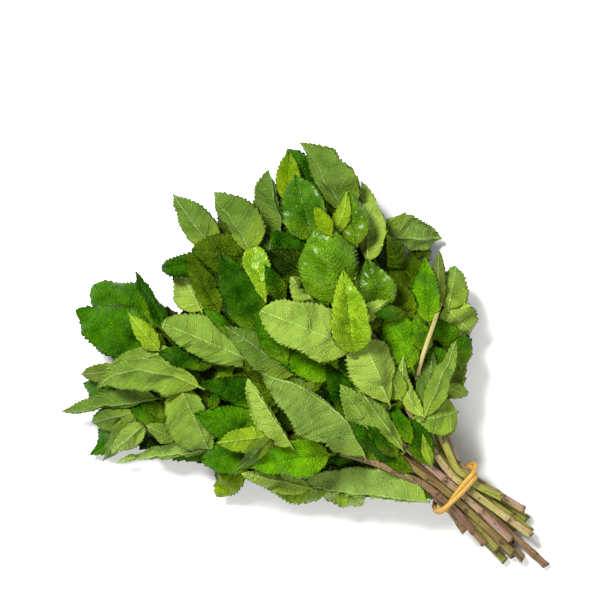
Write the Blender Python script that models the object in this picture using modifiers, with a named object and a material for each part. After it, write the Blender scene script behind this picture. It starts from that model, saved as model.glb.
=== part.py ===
"""A tied bunch of fresh mint, lying down: square stems, leaves and a doubled rubber band.

Layout of the model, in millimetres from the middle of the rubber band: +X runs along the
bunch from the cut ends to the leafy head, +Y is across it and +Z is up, with z = 0 on the
table. The finished model is in metres, with its origin at the middle of its underside.
"""

import math
from dataclasses import dataclass

import bmesh
import bpy
import numpy as np
from mathutils import Vector

MM = 0.001
OBJECT_NAME = "mint_bunch"

# Stems, packed in three rows of square rods under the band.
STEM_SIDE = 3.5
STEM_PITCH = 4.1
STEM_SLOPE = math.radians(19.4)
BAND_HEIGHT = 22.6
STEM_POINTS = 15
CURVE_STEPS = 16
STRAIGHT_RUN = 7.0
ROW_SLOTS = 6
CUT_RADIUS = 1.05
TIP_RADIUS = 0.55
STEM_SAMPLES = 300

# Rubber band: one closed loop wound twice round the stems.
STRAND_RADIUS = 1.0
STRAND_GAP = 0.3
STRAND_TURNS = 2
STRAND_CROSSINGS = 3
BAND_POINTS = 84

# Leaves.
LEAF_THICKNESS = 0.6
LEAF_GAP = 0.35
LEAF_CELLS_ALONG = 8
LEAF_CELLS_ACROSS = 4
LEAF_END_HALF_WIDTH = 1.0
LEAF_BASE_POWER = 0.62
LEAF_TIP_POWER = 1.0
LEAF_CURL = 0.12
LEAF_SAMPLES = 11

# Cells of the height map that the leaves are laid on.
PILE_CELL = 1.0
PILE_CORNER = (-90.0, -120.0)
PILE_SIZE = (330, 250)


@dataclass(frozen=True)
class Stem:
    """A stem: its row and slot under the band, its cut end, and its route into the head."""

    name: str
    row: int
    slot: float
    cut_end: tuple
    color: tuple
    route: tuple


@dataclass(frozen=True)
class Leaf:
    """A leaf blade: base and tip points, full width, and how it turns, folds and bows.

    roll turns the blade about its midrib, 0 with the upper face up and 180 with it down;
    fold lifts each half towards the upper face; arch and sway bow the midrib up and left.
    """

    name: str
    base: tuple
    tip: tuple
    width: float
    roll: float = 0.0
    fold: float = 15.0
    arch: float = 3.0
    sway: float = 0.0
    color: tuple = (0.05, 0.2, 0.02)


GREEN_STEM = (0.3, 0.33, 0.09)
PURPLE_STEM = (0.22, 0.13, 0.1)
PINK_STEM = (0.4, 0.27, 0.2)

STEMS = (
    # top row
    Stem("stem_top_1", 2, 2.0, (-30, 11.5), PURPLE_STEM, (
        (20, 10.5, 34), (50, 21, 40), (88, 42, 33), (122, 60, 24), (143, 73, 18))),
    Stem("stem_top_2", 2, 1.0, (-44, 5.5), GREEN_STEM, (
        (20, 5.5, 34), (42, 6.5, 40), (80, 14, 45), (120, 30, 40), (160, 46, 26))),
    Stem("stem_top_3", 2, 0.0, (-39, 1.2), PINK_STEM, (
        (18, 0, 33), (36, 0, 38.5), (80, -4, 45), (125, -8, 44), (160, -12, 33))),
    Stem("stem_top_4", 2, -1.0, (-45, -7), PINK_STEM, (
        (20, -7, 34), (45, -15, 41), (80, -30, 45), (115, -44, 41), (140, -52, 32))),
    Stem("stem_top_5", 2, -2.0, (-21, -11.8), GREEN_STEM, (
        (20, -14, 34.2), (40, -23, 38.5), (53.5, -33, 38), (60, -43, 36), (63, -54, 32), (63, -66, 26))),
    # middle row
    Stem("stem_middle_1", 1, 2.5, (-18, 13), PURPLE_STEM, (
        (22, 15, 29), (55, 34, 27), (92, 56, 19), (125, 78, 12))),
    Stem("stem_middle_2", 1, 1.5, (-37.5, 9.5), GREEN_STEM, (
        (22, 8.5, 30), (60, 22, 34), (110, 42, 27), (150, 60, 17))),
    Stem("stem_middle_3", 1, 0.5, (-50, 4.5), PURPLE_STEM, (
        (22, 3, 30), (60, 8, 35), (115, 18, 32), (165, 30, 21))),
    Stem("stem_middle_4", 1, -0.5, (-61.4, -0.5), PURPLE_STEM, (
        (22, -3, 30), (60, -9, 35), (115, -18, 33), (165, -24, 23))),
    Stem("stem_middle_5", 1, -1.5, (-44, -8.5), GREEN_STEM, (
        (22, -9, 30), (60, -27, 34), (105, -46, 28), (150, -62, 18))),
    Stem("stem_middle_6", 1, -2.5, (-34, -14.5), PINK_STEM, (
        (20, -17, 28.5), (42, -34, 28), (68, -55, 22), (90, -70, 14))),
    # bottom row
    Stem("stem_bottom_1", 0, 2.0, (-44, 11.4), GREEN_STEM, (
        (22, 13, 23), (55, 30, 19), (100, 54, 12), (145, 76, 9))),
    Stem("stem_bottom_2", 0, 1.0, (-46, 6.5), GREEN_STEM, (
        (22, 6, 24), (60, 16, 23), (110, 32, 17), (158, 48, 11))),
    Stem("stem_bottom_3", 0, 0.0, (-41, 1.5), PURPLE_STEM, (
        (22, 0, 24.5), (60, 2, 25), (115, 6, 18), (172, 12, 12))),
    Stem("stem_bottom_4", 0, -1.0, (-38, -5), GREEN_STEM, (
        (22, -6, 24), (60, -18, 23), (110, -34, 17), (158, -48, 10))),
    Stem("stem_bottom_5", 0, -2.0, (-38.6, -12), GREEN_STEM, (
        (22, -13, 23), (52, -30, 19), (85, -50, 13), (120, -72, 9))),
)

# Leaves under the stems, which carry the head on the table.
UNDER_LEAVES = (
    Leaf("leaf_under_1", (48, -4, 8), (98, -12, 1), 26, roll=172, fold=8, arch=1),
    Leaf("leaf_under_2", (52, 20, 8), (98, 40, 1), 26, roll=186, fold=8, arch=1),
    Leaf("leaf_under_3", (52, -32, 7), (98, -62, 1), 26, roll=176, fold=8, arch=1),
    Leaf("leaf_under_4", (108, 2, 7), (160, 6, 1), 28, roll=4, fold=6, arch=1),
    Leaf("leaf_under_5", (112, 30, 6), (166, 52, 1), 26, roll=182, fold=8, arch=1),
    Leaf("leaf_under_6", (108, -34, 6), (156, -58, 1), 26, roll=178, fold=8, arch=1),
    Leaf("leaf_under_7", (102, 58, 3), (142, 88, 1), 24, roll=2, fold=4, arch=0),
)

# Leaves over the lower stems but under the top row, lowest first.
LOWER_LEAVES = (
    Leaf("leaf_front_pale", (22, 20, 32), (67, 53, 14), 24, roll=160, fold=12, arch=3),
    Leaf("leaf_front_point", (92, 60, 24), (86, 82, 6), 18, roll=8, fold=15),
    Leaf("leaf_front_long", (105, 65, 22), (137, 102, 4), 17, roll=212, fold=30),
    Leaf("leaf_left_drooping", (147, 78, 15), (149, 107, 3), 18, roll=20, fold=12),
    Leaf("leaf_right_back", (34, -30, 28), (50, -60, 12), 18, roll=12, fold=15),
    Leaf("leaf_right_edge", (113, -70, 22), (87, -91, 8), 25, roll=212, fold=32),
    Leaf("leaf_crown_low", (155, 16, 26), (178, 7, 12), 20, roll=190, fold=12),
    Leaf("leaf_left_back", (166, 39, 26), (205, 42, 14), 27, roll=8, fold=10, arch=4),
)

# Leaves over all the stems, lowest first.
UPPER_LEAVES = (
    # outer ring
    Leaf("leaf_front_dark", (88, 50, 34), (106, 73, 22), 20, roll=0, fold=10),
    Leaf("leaf_right_drooping", (64, -66, 30), (45, -65, 14), 20, roll=184, fold=10, arch=4),
    Leaf("leaf_crown_dark", (158, -18, 36), (185, 14, 26), 17, roll=-10, fold=14),
    Leaf("leaf_crown_wide", (108, -58, 38), (137, -86, 22), 23, roll=165, fold=20),
    Leaf("leaf_crown_tall", (131, -68, 32), (172, -81, 26), 34, roll=158, fold=20, arch=4),
    Leaf("leaf_crown_light", (149, -38, 36), (176, -60, 28), 28, roll=212, fold=32),
    Leaf("leaf_crown_far", (170, -11, 38), (205, -19, 26), 26, roll=174, fold=18),
    Leaf("leaf_crown_serrated", (155, -23, 42), (189, -33, 34), 30, roll=160, fold=22),
    Leaf("leaf_left_front", (157, 46, 36), (201, 57, 22), 28, roll=0, fold=8, arch=4),
    Leaf("leaf_left_long", (143, 64, 28), (175, 102, 10), 18, roll=148, fold=30),
    Leaf("leaf_left_broad", (141, 50, 42), (106, 66, 36), 32, roll=182, fold=5, arch=5),
    Leaf("leaf_left_arched", (131, 45, 50), (169, 80, 26), 25, roll=166, fold=18, arch=9, sway=-9),
    # right side of the head
    Leaf("leaf_right_glossy", (65, -55, 42), (87, -77, 30), 20, roll=-6, fold=18),
    Leaf("leaf_right_round", (57, -32, 44), (85, -45, 42), 22, roll=0, fold=-12, arch=4),
    Leaf("leaf_right_pale", (36, -18, 41), (48, -56, 33), 16, roll=168, fold=28),
    # lower left of the head
    Leaf("leaf_front_glossy", (60, 28, 44), (87, 59, 34), 23, roll=-12, fold=16),
    Leaf("leaf_lower_bumpy", (91, 41, 44), (124, 57, 46), 23, roll=6, fold=14),
    Leaf("leaf_far_pale", (102, 12, 50), (165, 33, 44), 30, roll=178, fold=12, arch=5),
    Leaf("leaf_centre_dark", (125, 4, 50), (166, -12, 46), 25, roll=-6, fold=20),
    # crown of the head
    Leaf("leaf_crown_glossy", (136, -47, 48), (163, -66, 42), 25, roll=-8, fold=14),
    Leaf("leaf_centre_under", (84, -6, 50), (125, 5, 54), 24, roll=4, fold=14),
    Leaf("leaf_centre_quilted", (108, -30, 54), (138, -57, 56), 31, roll=0, fold=10, arch=4),
    Leaf("leaf_lower_narrow", (77, 37, 50), (115, 26, 60), 20, roll=214, fold=34),
    Leaf("leaf_centre_narrow", (34, 2, 44), (76, -8, 54), 13, roll=184, fold=34),
    Leaf("leaf_lower_pale", (46, 17, 45), (111, 19, 68), 29, roll=206, fold=26, arch=3, sway=4),
    Leaf("leaf_centre_pale", (86, -20, 60), (132, -4, 64), 27, roll=180, fold=8, arch=5),
    Leaf("leaf_centre_fan", (54, -11, 50), (84, -26, 58), 27, roll=196, fold=16, arch=4),
    Leaf("leaf_centre_wet", (84, -19, 64), (115, -46, 70), 23, roll=0, fold=22),
)


def row_height(row, x):
    """Centre height of a stem row where it runs straight through the band."""
    return BAND_HEIGHT + (row - 1) * STEM_PITCH / math.cos(STEM_SLOPE) + x * math.tan(STEM_SLOPE)


def stem_corners(stem):
    """The route's own points, from the cut end through the band to the tip."""
    y = stem.slot * STEM_PITCH
    straight = [stem.cut_end, (-STRAIGHT_RUN, y), (0.0, y), (STRAIGHT_RUN, y)]
    points = [Vector((px, py, row_height(stem.row, px))) for px, py in straight]
    points[0].z = max(points[0].z, STEM_SIDE / 2)
    return points + [Vector(point) for point in stem.route]


def smooth_curve(points, count):
    """Evenly spaced points of a Catmull-Rom curve through the given ones."""
    ends = [points[0] * 2 - points[1], *points, points[-1] * 2 - points[-2]]
    fine = []
    for a, b, c, d in zip(ends, ends[1:], ends[2:], ends[3:]):
        for step in range(CURVE_STEPS):
            t = step / CURVE_STEPS
            linear = (c - a) * (t / 2)
            square = (a * 2 - b * 5 + c * 4 - d) * (t**2 / 2)
            cube = (b * 3 - a - c * 3 + d) * (t**3 / 2)
            fine.append(b + linear + square + cube)
    fine.append(points[-1])
    run = np.cumsum([0.0] + [(q - p).length for p, q in zip(fine, fine[1:])])
    even = np.linspace(0.0, run[-1], count)
    return np.column_stack([np.interp(even, run, [p[axis] for p in fine]) for axis in range(3)])


def make_material(name, color, roughness):
    """A plain Principled material with this linear colour."""
    material = bpy.data.materials.new(name)
    material.use_nodes = True
    shader = material.node_tree.nodes["Principled BSDF"]
    shader.inputs["Base Color"].default_value = (*color, 1.0)
    shader.inputs["Roughness"].default_value = roughness
    shader.inputs["Metallic"].default_value = 0.0
    return material


def add_tube(collection, name, points, radii, half_size, sides_level, closed, tilt, material):
    """A bevelled polyline curve through points in millimetres, with filled caps."""
    curve = bpy.data.curves.new(name, "CURVE")
    curve.dimensions = "3D"
    curve.twist_mode = "Z_UP"
    curve.bevel_depth = half_size * MM
    curve.bevel_resolution = sides_level
    curve.use_fill_caps = not closed
    spline = curve.splines.new("POLY")
    spline.points.add(len(points) - 1)
    spline.use_cyclic_u = closed
    spline.use_smooth = closed
    for knot, point, radius in zip(spline.points, points, radii):
        knot.co = (*(Vector(point) * MM), 1.0)
        knot.radius = radius
        knot.tilt = tilt
    curve.materials.append(material)
    obj = bpy.data.objects.new(name, curve)
    collection.objects.link(obj)


def add_stem(collection, stem, pile):
    """A square stem, tapering from its cut end to its tip, entered in the pile."""
    points = smooth_curve(stem_corners(stem), STEM_POINTS)
    along = np.linspace(0.0, 1.0, STEM_POINTS)
    radii = np.interp(along, (0.0, 0.35, 1.0), (CUT_RADIUS, 1.0, TIP_RADIUS))
    half_diagonal = STEM_SIDE / math.sqrt(2)
    material = make_material(stem.name, stem.color, 0.5)
    add_tube(collection, stem.name, points, radii, half_diagonal, 0, False, math.radians(45), material)
    close = np.linspace(0.0, 1.0, STEM_SAMPLES)
    fine = np.column_stack([np.interp(close, along, points[:, axis]) for axis in range(3)])
    for shift in (-1.2, 0.0, 1.2):
        pile.add(fine + (0.0, shift, 0.0), STEM_SIDE / 2 + LEAF_GAP)


def bundle_outline():
    """Corners of the stem bundle's section under the band, in turn round it."""
    half = STEM_SIDE / 2
    wide = (ROW_SLOTS - 1) / 2 * STEM_PITCH + half
    narrow = wide - STEM_PITCH / 2
    top = STEM_PITCH + half
    quarter = [(wide, half), (narrow, top)]
    upper = quarter + [(-y, z) for y, z in reversed(quarter)]
    return upper + [(-y, -z) for y, z in upper]


def belt_round(corners, offset, count):
    """Evenly spaced points of a taut loop at this offset from a convex outline."""
    loop = []
    for index, (y, z) in enumerate(corners):
        before, after = corners[index - 1], corners[(index + 1) % len(corners)]
        first = math.atan2(z - before[1], y - before[0]) - math.pi / 2
        last = math.atan2(after[1] - z, after[0] - y) - math.pi / 2
        turn = (last - first) % math.tau
        for step in range(7):
            angle = first + turn * step / 6
            loop.append((y + offset * math.cos(angle), z + offset * math.sin(angle)))
    loop.append(loop[0])
    loop = np.array(loop)
    run = np.concatenate([[0.0], np.cumsum(np.hypot(*np.diff(loop, axis=0).T))])
    even = np.linspace(0.0, run[-1], count, endpoint=False)
    return np.column_stack([np.interp(even, run, loop[:, axis]) for axis in range(2)])


def add_band(collection):
    """The rubber band: two strands that cross on their way round the stems."""
    half_spread = STRAND_RADIUS + STRAND_GAP / 2
    clearance = half_spread + STRAND_RADIUS + STRAND_GAP
    per_turn = BAND_POINTS // STRAND_TURNS
    belt = belt_round(bundle_outline(), clearance, per_turn)
    outward = np.roll(belt, -1, axis=0) - np.roll(belt, 1, axis=0)
    outward = np.column_stack([outward[:, 1], -outward[:, 0]])
    outward /= np.linalg.norm(outward, axis=1, keepdims=True)
    along = Vector((math.cos(STEM_SLOPE), 0.0, math.sin(STEM_SLOPE)))
    across = Vector((0.0, 1.0, 0.0))
    up = Vector((-math.sin(STEM_SLOPE), 0.0, math.cos(STEM_SLOPE)))
    points = []
    for index in range(BAND_POINTS):
        phase = math.tau * STRAND_CROSSINGS * index / (2 * per_turn)
        y, z = belt[index % per_turn] + outward[index % per_turn] * half_spread * math.sin(phase)
        centre = Vector((0.0, 0.0, BAND_HEIGHT)) + across * y + up * z
        points.append(centre + along * half_spread * math.cos(phase))
    material = make_material("rubber_band", (0.58, 0.3, 0.04), 0.45)
    add_tube(collection, "rubber_band", points, [1.0] * BAND_POINTS, STRAND_RADIUS, 2, True, 0.0, material)


def outline_width(along):
    """Width of a mint leaf as a share of its greatest, from base (0) to tip (1)."""
    widest = LEAF_BASE_POWER / (LEAF_BASE_POWER + LEAF_TIP_POWER)
    return (along / widest) ** LEAF_BASE_POWER * ((1.0 - along) / (1.0 - widest)) ** LEAF_TIP_POWER


def leaf_point(leaf, along, across):
    """A point of the blade's middle surface, along 0..1 from the base and across -1..1."""
    base, tip = Vector(leaf.base), Vector(leaf.tip)
    chord = tip - base
    left = Vector((0.0, 0.0, 1.0)).cross(chord).normalized()
    up = chord.cross(left).normalized()
    bow = up * leaf.arch + left * leaf.sway
    spine = base + chord * along + bow * (4.0 * along * (1.0 - along))
    tangent = (chord + bow * (4.0 - 8.0 * along)).normalized()
    left = up.cross(tangent).normalized()
    up = tangent.cross(left)
    roll = math.radians(leaf.roll)
    normal = up * math.cos(roll) - left * math.sin(roll)
    side = left * math.cos(roll) + up * math.sin(roll)
    half = max(outline_width(along) * leaf.width / 2, LEAF_END_HALF_WIDTH)
    fold = math.radians(leaf.fold)
    rise = abs(across) * math.sin(fold) - LEAF_CURL * across * across
    return spine + side * (half * across * math.cos(fold)) + normal * (half * rise)


def leaf_sheet(leaf):
    """The blade's middle surface as rows of points from base to tip."""
    along = [(row + 0.12) / (LEAF_CELLS_ALONG + 0.24) for row in range(LEAF_CELLS_ALONG + 1)]
    across = [column * 2 / LEAF_CELLS_ACROSS - 1 for column in range(LEAF_CELLS_ACROSS + 1)]
    return np.array([[leaf_point(leaf, s, v) for v in across] for s in along])


def surface_samples(sheet):
    """Closely spaced points all over a sheet of four-sided cells."""
    share = np.linspace(0.0, 1.0, LEAF_SAMPLES)
    s, t = (grid.ravel()[:, None, None, None] for grid in np.meshgrid(share, share))
    left = sheet[:-1, :-1] * (1 - s) + sheet[1:, :-1] * s
    right = sheet[:-1, 1:] * (1 - s) + sheet[1:, 1:] * s
    return (left * (1 - t) + right * t).reshape(-1, 3)


class Pile:
    """Heights of what already lies on the table, so that each leaf is laid clear of it."""

    def __init__(self):
        self.top = np.full(PILE_SIZE, -LEAF_GAP)

    def cells(self, points):
        """Indices of the map cells below these points."""
        index = np.floor((points[:, :2] - PILE_CORNER) / PILE_CELL).astype(int)
        return index[:, 0], index[:, 1]

    def lift_for(self, points, half_thickness):
        """How far these points must rise to clear the pile."""
        x, y = self.cells(points)
        return max(0.0, float((self.top[x, y] - points[:, 2]).max()) + half_thickness + LEAF_GAP)

    def add(self, points, half_thickness):
        """Raises the pile to cover these points, and one cell round them."""
        x, y = self.cells(points)
        for step_x in (-1, 0, 1):
            for step_y in (-1, 0, 1):
                np.maximum.at(self.top, (x + step_x, y + step_y), points[:, 2] + half_thickness)


def add_leaf(collection, leaf, pile):
    """A leaf blade laid clear of the pile: a curved sheet given its thickness by Solidify."""
    sheet = leaf_sheet(leaf)
    samples = surface_samples(sheet)
    lift = pile.lift_for(samples, LEAF_THICKNESS / 2)
    sheet[:, :, 2] += lift
    samples[:, 2] += lift
    pile.add(samples, LEAF_THICKNESS / 2)

    blade = bmesh.new()
    bmesh.ops.create_grid(blade, x_segments=LEAF_CELLS_ALONG, y_segments=LEAF_CELLS_ACROSS, size=1.0)
    for vertex in blade.verts:
        row = round((vertex.co.x + 1.0) / 2.0 * LEAF_CELLS_ALONG)
        column = round((vertex.co.y + 1.0) / 2.0 * LEAF_CELLS_ACROSS)
        vertex.co = Vector(sheet[row, column]) * MM
    mesh = bpy.data.meshes.new(leaf.name)
    blade.to_mesh(mesh)
    blade.free()
    mesh.shade_smooth()
    mesh.materials.append(make_material(leaf.name, leaf.color, 0.45))
    obj = bpy.data.objects.new(leaf.name, mesh)
    collection.objects.link(obj)
    solid = obj.modifiers.new("thickness", "SOLIDIFY")
    solid.thickness = LEAF_THICKNESS * MM
    solid.offset = 0.0


def stand_on_origin(collection):
    """Moves every object so that the model's underside is centred on the origin."""
    bpy.context.view_layer.update()
    graph = bpy.context.evaluated_depsgraph_get()
    corners = []
    for obj in collection.objects:
        evaluated = obj.evaluated_get(graph)
        mesh = evaluated.to_mesh()
        corners.extend(obj.matrix_world @ vertex.co for vertex in mesh.vertices)
        evaluated.to_mesh_clear()
    low = [min(corner[axis] for corner in corners) for axis in range(3)]
    high = [max(corner[axis] for corner in corners) for axis in range(3)]
    middle = Vector(((low[0] + high[0]) / 2, (low[1] + high[1]) / 2, low[2]))
    for obj in collection.objects:
        obj.location -= middle
    bpy.context.view_layer.update()


def main():
    """Builds the bunch."""
    for obj in list(bpy.data.objects):
        bpy.data.objects.remove(obj)
    collection = bpy.data.collections.new(OBJECT_NAME)
    bpy.context.scene.collection.children.link(collection)

    pile = Pile()
    top_row = max(stem.row for stem in STEMS)
    for leaf in UNDER_LEAVES:
        add_leaf(collection, leaf, pile)
    for stem in (stem for stem in STEMS if stem.row < top_row):
        add_stem(collection, stem, pile)
    for leaf in LOWER_LEAVES:
        add_leaf(collection, leaf, pile)
    for stem in (stem for stem in STEMS if stem.row == top_row):
        add_stem(collection, stem, pile)
    for leaf in UPPER_LEAVES:
        add_leaf(collection, leaf, pile)
    add_band(collection)
    stand_on_origin(collection)


main()
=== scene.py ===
"""A tied bunch of fresh mint lying on a pale table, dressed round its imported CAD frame.

Working positions are millimetres from the middle of the rubber band: +X runs along the bunch
from the cut ends to the leafy head, +Y is across it and +Z is up, with z = 0 on the table.
They become the frame's metres only when a mesh is made.
"""

import logging
import math
from collections.abc import Callable
from dataclasses import dataclass, field, replace
from enum import Enum
from functools import cache, partial

import bpy
import numpy as np
from mathutils import Matrix, Vector


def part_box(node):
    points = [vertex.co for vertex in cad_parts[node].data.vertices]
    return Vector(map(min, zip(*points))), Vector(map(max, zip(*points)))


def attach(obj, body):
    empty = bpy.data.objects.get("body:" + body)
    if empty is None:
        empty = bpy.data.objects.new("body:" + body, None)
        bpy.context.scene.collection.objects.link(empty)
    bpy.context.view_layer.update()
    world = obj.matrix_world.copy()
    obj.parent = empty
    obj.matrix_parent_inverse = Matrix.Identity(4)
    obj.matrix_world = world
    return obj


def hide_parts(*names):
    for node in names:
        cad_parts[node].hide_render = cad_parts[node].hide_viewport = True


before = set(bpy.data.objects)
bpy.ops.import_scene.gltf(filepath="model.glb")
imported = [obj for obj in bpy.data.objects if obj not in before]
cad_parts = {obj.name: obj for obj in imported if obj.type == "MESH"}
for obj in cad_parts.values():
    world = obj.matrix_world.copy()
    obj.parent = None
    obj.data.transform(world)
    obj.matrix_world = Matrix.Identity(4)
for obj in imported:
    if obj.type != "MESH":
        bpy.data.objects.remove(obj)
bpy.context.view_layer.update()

Array = np.ndarray
Material = bpy.types.Material
Point = tuple[float, float, float]

LOG = logging.getLogger("mint_bunch")
MM = 0.001
BODY = "root"
BAND_NODE = "rubber_band"
SEED = 20
UP = (0.0, 0.0, 1.0)

# Stems: square rods packed in three rows under the band.
STEM_SIDE = 3.5
STEM_PITCH = 4.1
STEM_SLOPE = math.radians(19.4)
BAND_HEIGHT = 22.6
STRAIGHT_RUN = 7.0
CURVE_STEPS = 16
SHOOTS_FROM = 12
LEAVES_FROM = 20
SHORTEST_SHOOT = 3.0
CUT_SCALE = 1.05
TIP_SCALE = 0.55
ROW_SLOTS = 6

# Rubber band: one loop wound twice round the stems.
STRAND_RADIUS = 1.0
STRAND_GAP = 0.3
STRAND_TURNS = 2
STRAND_CROSSINGS = 3

# Leaf outline and section.
BASE_POWER = 0.62
TIP_POWER = 1.0
LEAF_CURL = 0.12
BASE_POWERS = (0.45, 0.6)
TIP_POWERS = (0.82, 1.05)
STALK_HALF = 0.7
STALK_LENGTH = 2.0
BLADE_HALF = 0.18
RIB_HEIGHT = 0.5
TOOTH_PITCH = 3.1
TOOTH_DEPTH = 1.45
VEIN_PITCH = 5.0
VEIN_LEAN = 0.30
EDGE_WANDER = 0.07
WANDER_PITCH = 17.0

# Relief of a blade: quilting between the veins, crumples, and how tip, edges and midrib turn.
LARGE_LEAF = 14
LARGE_QUILT = 0.42
SMALL_QUILT = 0.25
BROAD_PITCH = 26.0
CRUMPLE_PITCH = 12.0
FINE_PITCH = 4.2
TIP_BENDS = (-2.4, 2.0)
EDGE_CURLS = (-0.32, 0.24)
TWISTS = (-7.0, 7.0)

# Columns across a blade and steps up each tooth, for large leaves and for small ones.
FULL_ACROSS = (-1, -0.86, -0.7, -0.52, -0.36, -0.2, -0.07, 0, 0.07, 0.2, 0.36, 0.52, 0.7, 0.86, 1)
SMALL_ACROSS = (-1, -0.8, -0.5, -0.2, 0, 0.2, 0.5, 0.8, 1)
FULL_TOOTH = (0.0, 0.5, 0.92)
SMALL_TOOTH = (0.1, 0.9)

# Cells of the height maps that keep leaves from passing through each other.
CELL = 0.6
HEAP_CORNER = (-90.0, -120.0)
HEAP_SHAPE = (550, 417)
LEAF_GAP = 0.12
OPEN_SKY = 400.0
STEEPEST = 0.7
EASE_ROUNDS = 14
CAD_LEAF_MOVE = 3.0
LOOSE_LEAF_MOVE = 30.0


# ---------------------------------------------------------------- finishes

BLEND = {"data_type": "RGBA"}
SMOOTH = {"interpolation_type": "SMOOTHSTEP"}
TIMES = {"operation": "MULTIPLY"}
TIMES_PLUS = {"operation": "MULTIPLY_ADD"}


def linear(code: str, share: float = 1.0, pale: float = 0.0) -> tuple[float, float, float, float]:
    """Turns an sRGB hex colour into the linear colour that a shader takes.

    Args:
        code: # and six hex digits.
        share: how much of the colour's light to keep.
        pale: light added to each channel after that.

    Returns:
        Linear red, green, blue and an alpha of 1.
    """
    channels = [int(code[start : start + 2], 16) / 255 for start in (1, 3, 5)]
    bent = [c / 12.92 if c <= 0.04045 else ((c + 0.055) / 1.055) ** 2.4 for c in channels]
    return (*(c * share + pale for c in bent), 1.0)


def add_node(tree: bpy.types.NodeTree, kind: str, settings: dict, *feeds: object) -> bpy.types.Node:
    """Adds a node with its settings and the links into it.

    A socket is fed with a value, an output socket or a node, which gives its first open output.

    Args:
        tree: the node tree.
        kind: the node's type name after ShaderNode.
        settings: properties, by lower-case name, and what feeds sockets, by socket name.
        feeds: what feeds the open sockets, from the first on.

    Returns:
        The new node.
    """
    node = tree.nodes.new(f"ShaderNode{kind}")
    for key, value in settings.items():
        if key.islower():
            setattr(node, key, value)
    fed = list(zip([socket for socket in node.inputs if socket.enabled], feeds))
    fed += [(node.inputs[key], value) for key, value in settings.items() if not key.islower()]
    for socket, value in fed:
        if isinstance(value, bpy.types.Node):
            value = next(output for output in value.outputs if output.enabled)
        if isinstance(value, bpy.types.NodeSocket):
            tree.links.new(value, socket)
        else:
            socket.default_value = value
    return node


def new_material(name: str) -> tuple[Material, Callable[..., bpy.types.Node]]:
    """Starts a material with an empty node tree.

    Args:
        name: the material's name.

    Returns:
        The material, and add_node for its tree.
    """
    material = bpy.data.materials.new(name)
    material.use_nodes = True
    material.node_tree.nodes.clear()
    return material, partial(add_node, material.node_tree)


@dataclass(frozen=True)
class LeafSide:
    """What sets one face of a leaf apart from the other.

    The wax gives soft broken highlights above. The down gives a matte, lighter face below,
    where the veins stand proud and the cells sink between them.
    """

    name: str
    specular: float
    sheen: float
    gloss: tuple[float, float]
    foot: str
    vein_share: float
    vein_pale: float
    # Share of the dark colour kept in the painted shadow beside each side vein.
    vein_shadow_share: float
    # Share of the dark colour kept in the painted shade along the fine vein net.
    net_shade_share: float
    cell_bump: float
    veins_proud: bool = False


UPPER_FACE = LeafSide("upper_face", 0.2, 0.0, (0.34, 0.5), "#68800f", 0.34, 0.01, 0.45, 0.45, 1.0)
UNDERSIDE = LeafSide("underside", 0.12, 0.03, (0.56, 0.7), "#7c8e1c", 0.7, 0.05, 0.62, 0.7, 0.7, True)


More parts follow.
